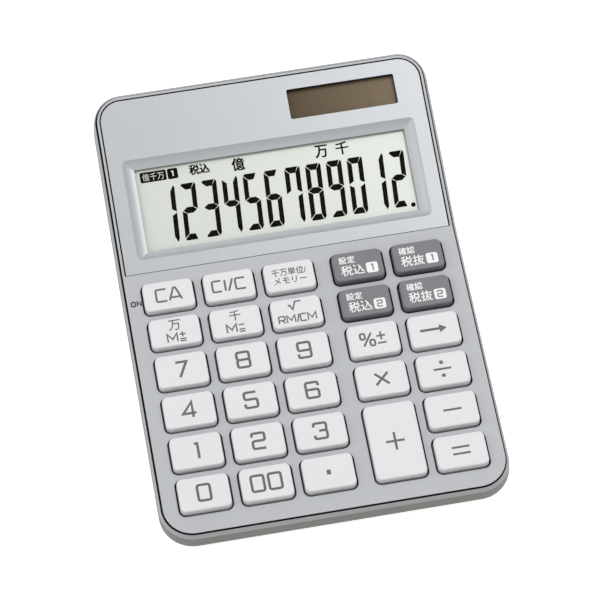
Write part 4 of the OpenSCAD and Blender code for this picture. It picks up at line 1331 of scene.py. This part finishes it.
class CALCULATOR_OT_stage(bpy.types.Operator):
    """Sets the floor, the lights, the surroundings and the camera"""
    bl_idname = "calculator.stage"
    bl_label = "Stage"

    def execute(self, context):
        looks = context.scene.calculator_stage
        scene = context.scene
        # Floor: pale card; what the camera and mirrors see of it is lifted to white and keeps the shadow
        card = bpy.data.materials.new("pale_card")
        tree = emptied(card)
        lift = add(tree, "ShaderNodeMath", {"operation": "MULTIPLY"}, n0=seen_directly(tree), n1=FLOOR_LIFT)
        shader = add(tree, "ShaderNodeBsdfPrincipled", Base_Color=(*looks.floor_colour, 1), Roughness=0.9,
                     Emission_Color=(1, 1, 1, 1), Emission_Strength=lift.outputs[0], Specular_IOR_Level=0.0)
        add(tree, "ShaderNodeOutputMaterial", Surface=shader.outputs[0])
        floor = bpy.data.meshes.new("floor")
        reach = 6.0
        floor.from_pydata([(x * reach, y * reach, 0) for x, y in ((-1, -1), (1, -1), (1, 1), (-1, 1))], [],
                          [(0, 1, 2, 3)])
        floor.materials.append(card)
        floor = linked("floor", floor)

        world = bpy.data.worlds.new("surroundings")
        tree = emptied(world)
        strength = add(tree, "ShaderNodeMapRange", Value=seen_directly(tree), To_Min=looks.sky, To_Max=1.0)
        sky = add(tree, "ShaderNodeBackground", Color=(1, 1, 1, 1), Strength=strength.outputs[0])
        add(tree, "ShaderNodeOutputWorld", Surface=sky.outputs[0])
        scene.world = world

        middle = Vector((0, 0, 0.015))
        for name, place, size, power in (
                ("main_light", (0.32, 0.17, 0.8), 0.4, looks.key_power),
                ("fill_light", (-0.75, 0.0, 0.6), 0.8, looks.fill_power)):
            lamp = bpy.data.lights.new(name, "AREA")
            lamp.shape = "DISK"
            lamp.size = size
            lamp.energy = power
            linked(name, lamp).matrix_world = look_at(Vector(place), middle)

        # The camera stands high at the front left and is turned a little about its view
        camera = bpy.data.cameras.new("camera")
        camera.sensor_width = 36.0
        camera.lens = 180.2
        camera.clip_end = 20.0
        right = Vector((0.9842, -0.1772, 0.0048))
        down = Vector((-0.1561, -0.8790, -0.4506))
        ahead = Vector((0.0841, 0.4427, -0.8927))
        tilt = Matrix.Rotation(KEY_SLOPE, 3, "X")
        axes = Matrix([tilt @ right, tilt @ -down, tilt @ -ahead]).transposed()
        stand = Vector((0, Y_BEND, Z_BEND)) * MM + Vector((-0.0748, -0.455, 0.7774))
        scene.camera = linked("camera", camera)
        scene.camera.matrix_world = Matrix.Translation(stand) @ axes.to_4x4()
        scene.view_settings.view_transform = "Standard"
        return {"FINISHED"}


STEPS = (CALCULATOR_OT_face_plate, CALCULATOR_OT_upper_case, CALCULATOR_OT_lower_case,
         CALCULATOR_OT_display_panel, CALCULATOR_OT_display, CALCULATOR_OT_solar_cell, CALCULATOR_OT_keys,
         CALCULATOR_OT_base, CALCULATOR_OT_works, CALCULATOR_OT_stage)
GROUPS = {"calculator_case": CaseSizes, "calculator_keys": KeySizes, "calculator_display": DisplaySizes,
          "calculator_colours": FinishColours, "calculator_stage": StageLooks}


class CALCULATOR_PT_sidebar(bpy.types.Panel):
    """Lists the calculator's sizes, colours and steps"""
    bl_idname = "CALCULATOR_PT_sidebar"
    bl_label = "Desk Calculator"
    bl_space_type = "VIEW_3D"
    bl_region_type = "UI"
    bl_category = "Calculator"

    def draw(self, context):
        for name in GROUPS:
            box = self.layout.box()
            group = getattr(context.scene, name)
            for key in group.__annotations__:
                box.prop(group, key)
        for step in STEPS:
            self.layout.operator(step.bl_idname)


def register():
    for name, group in GROUPS.items():
        bpy.utils.register_class(group)
        setattr(bpy.types.Scene, name, bpy.props.PointerProperty(type=group))
    for kind in (*STEPS, CALCULATOR_PT_sidebar):
        bpy.utils.register_class(kind)


def unregister():
    for kind in (CALCULATOR_PT_sidebar, *reversed(STEPS)):
        bpy.utils.unregister_class(kind)
    for name, group in GROUPS.items():
        delattr(bpy.types.Scene, name)
        bpy.utils.unregister_class(group)


def main():
    register()
    for step in STEPS:
        operator = step.bl_idname.split(".")[1]
        getattr(bpy.ops.calculator, operator)()


if __name__ == "__main__":
    main()
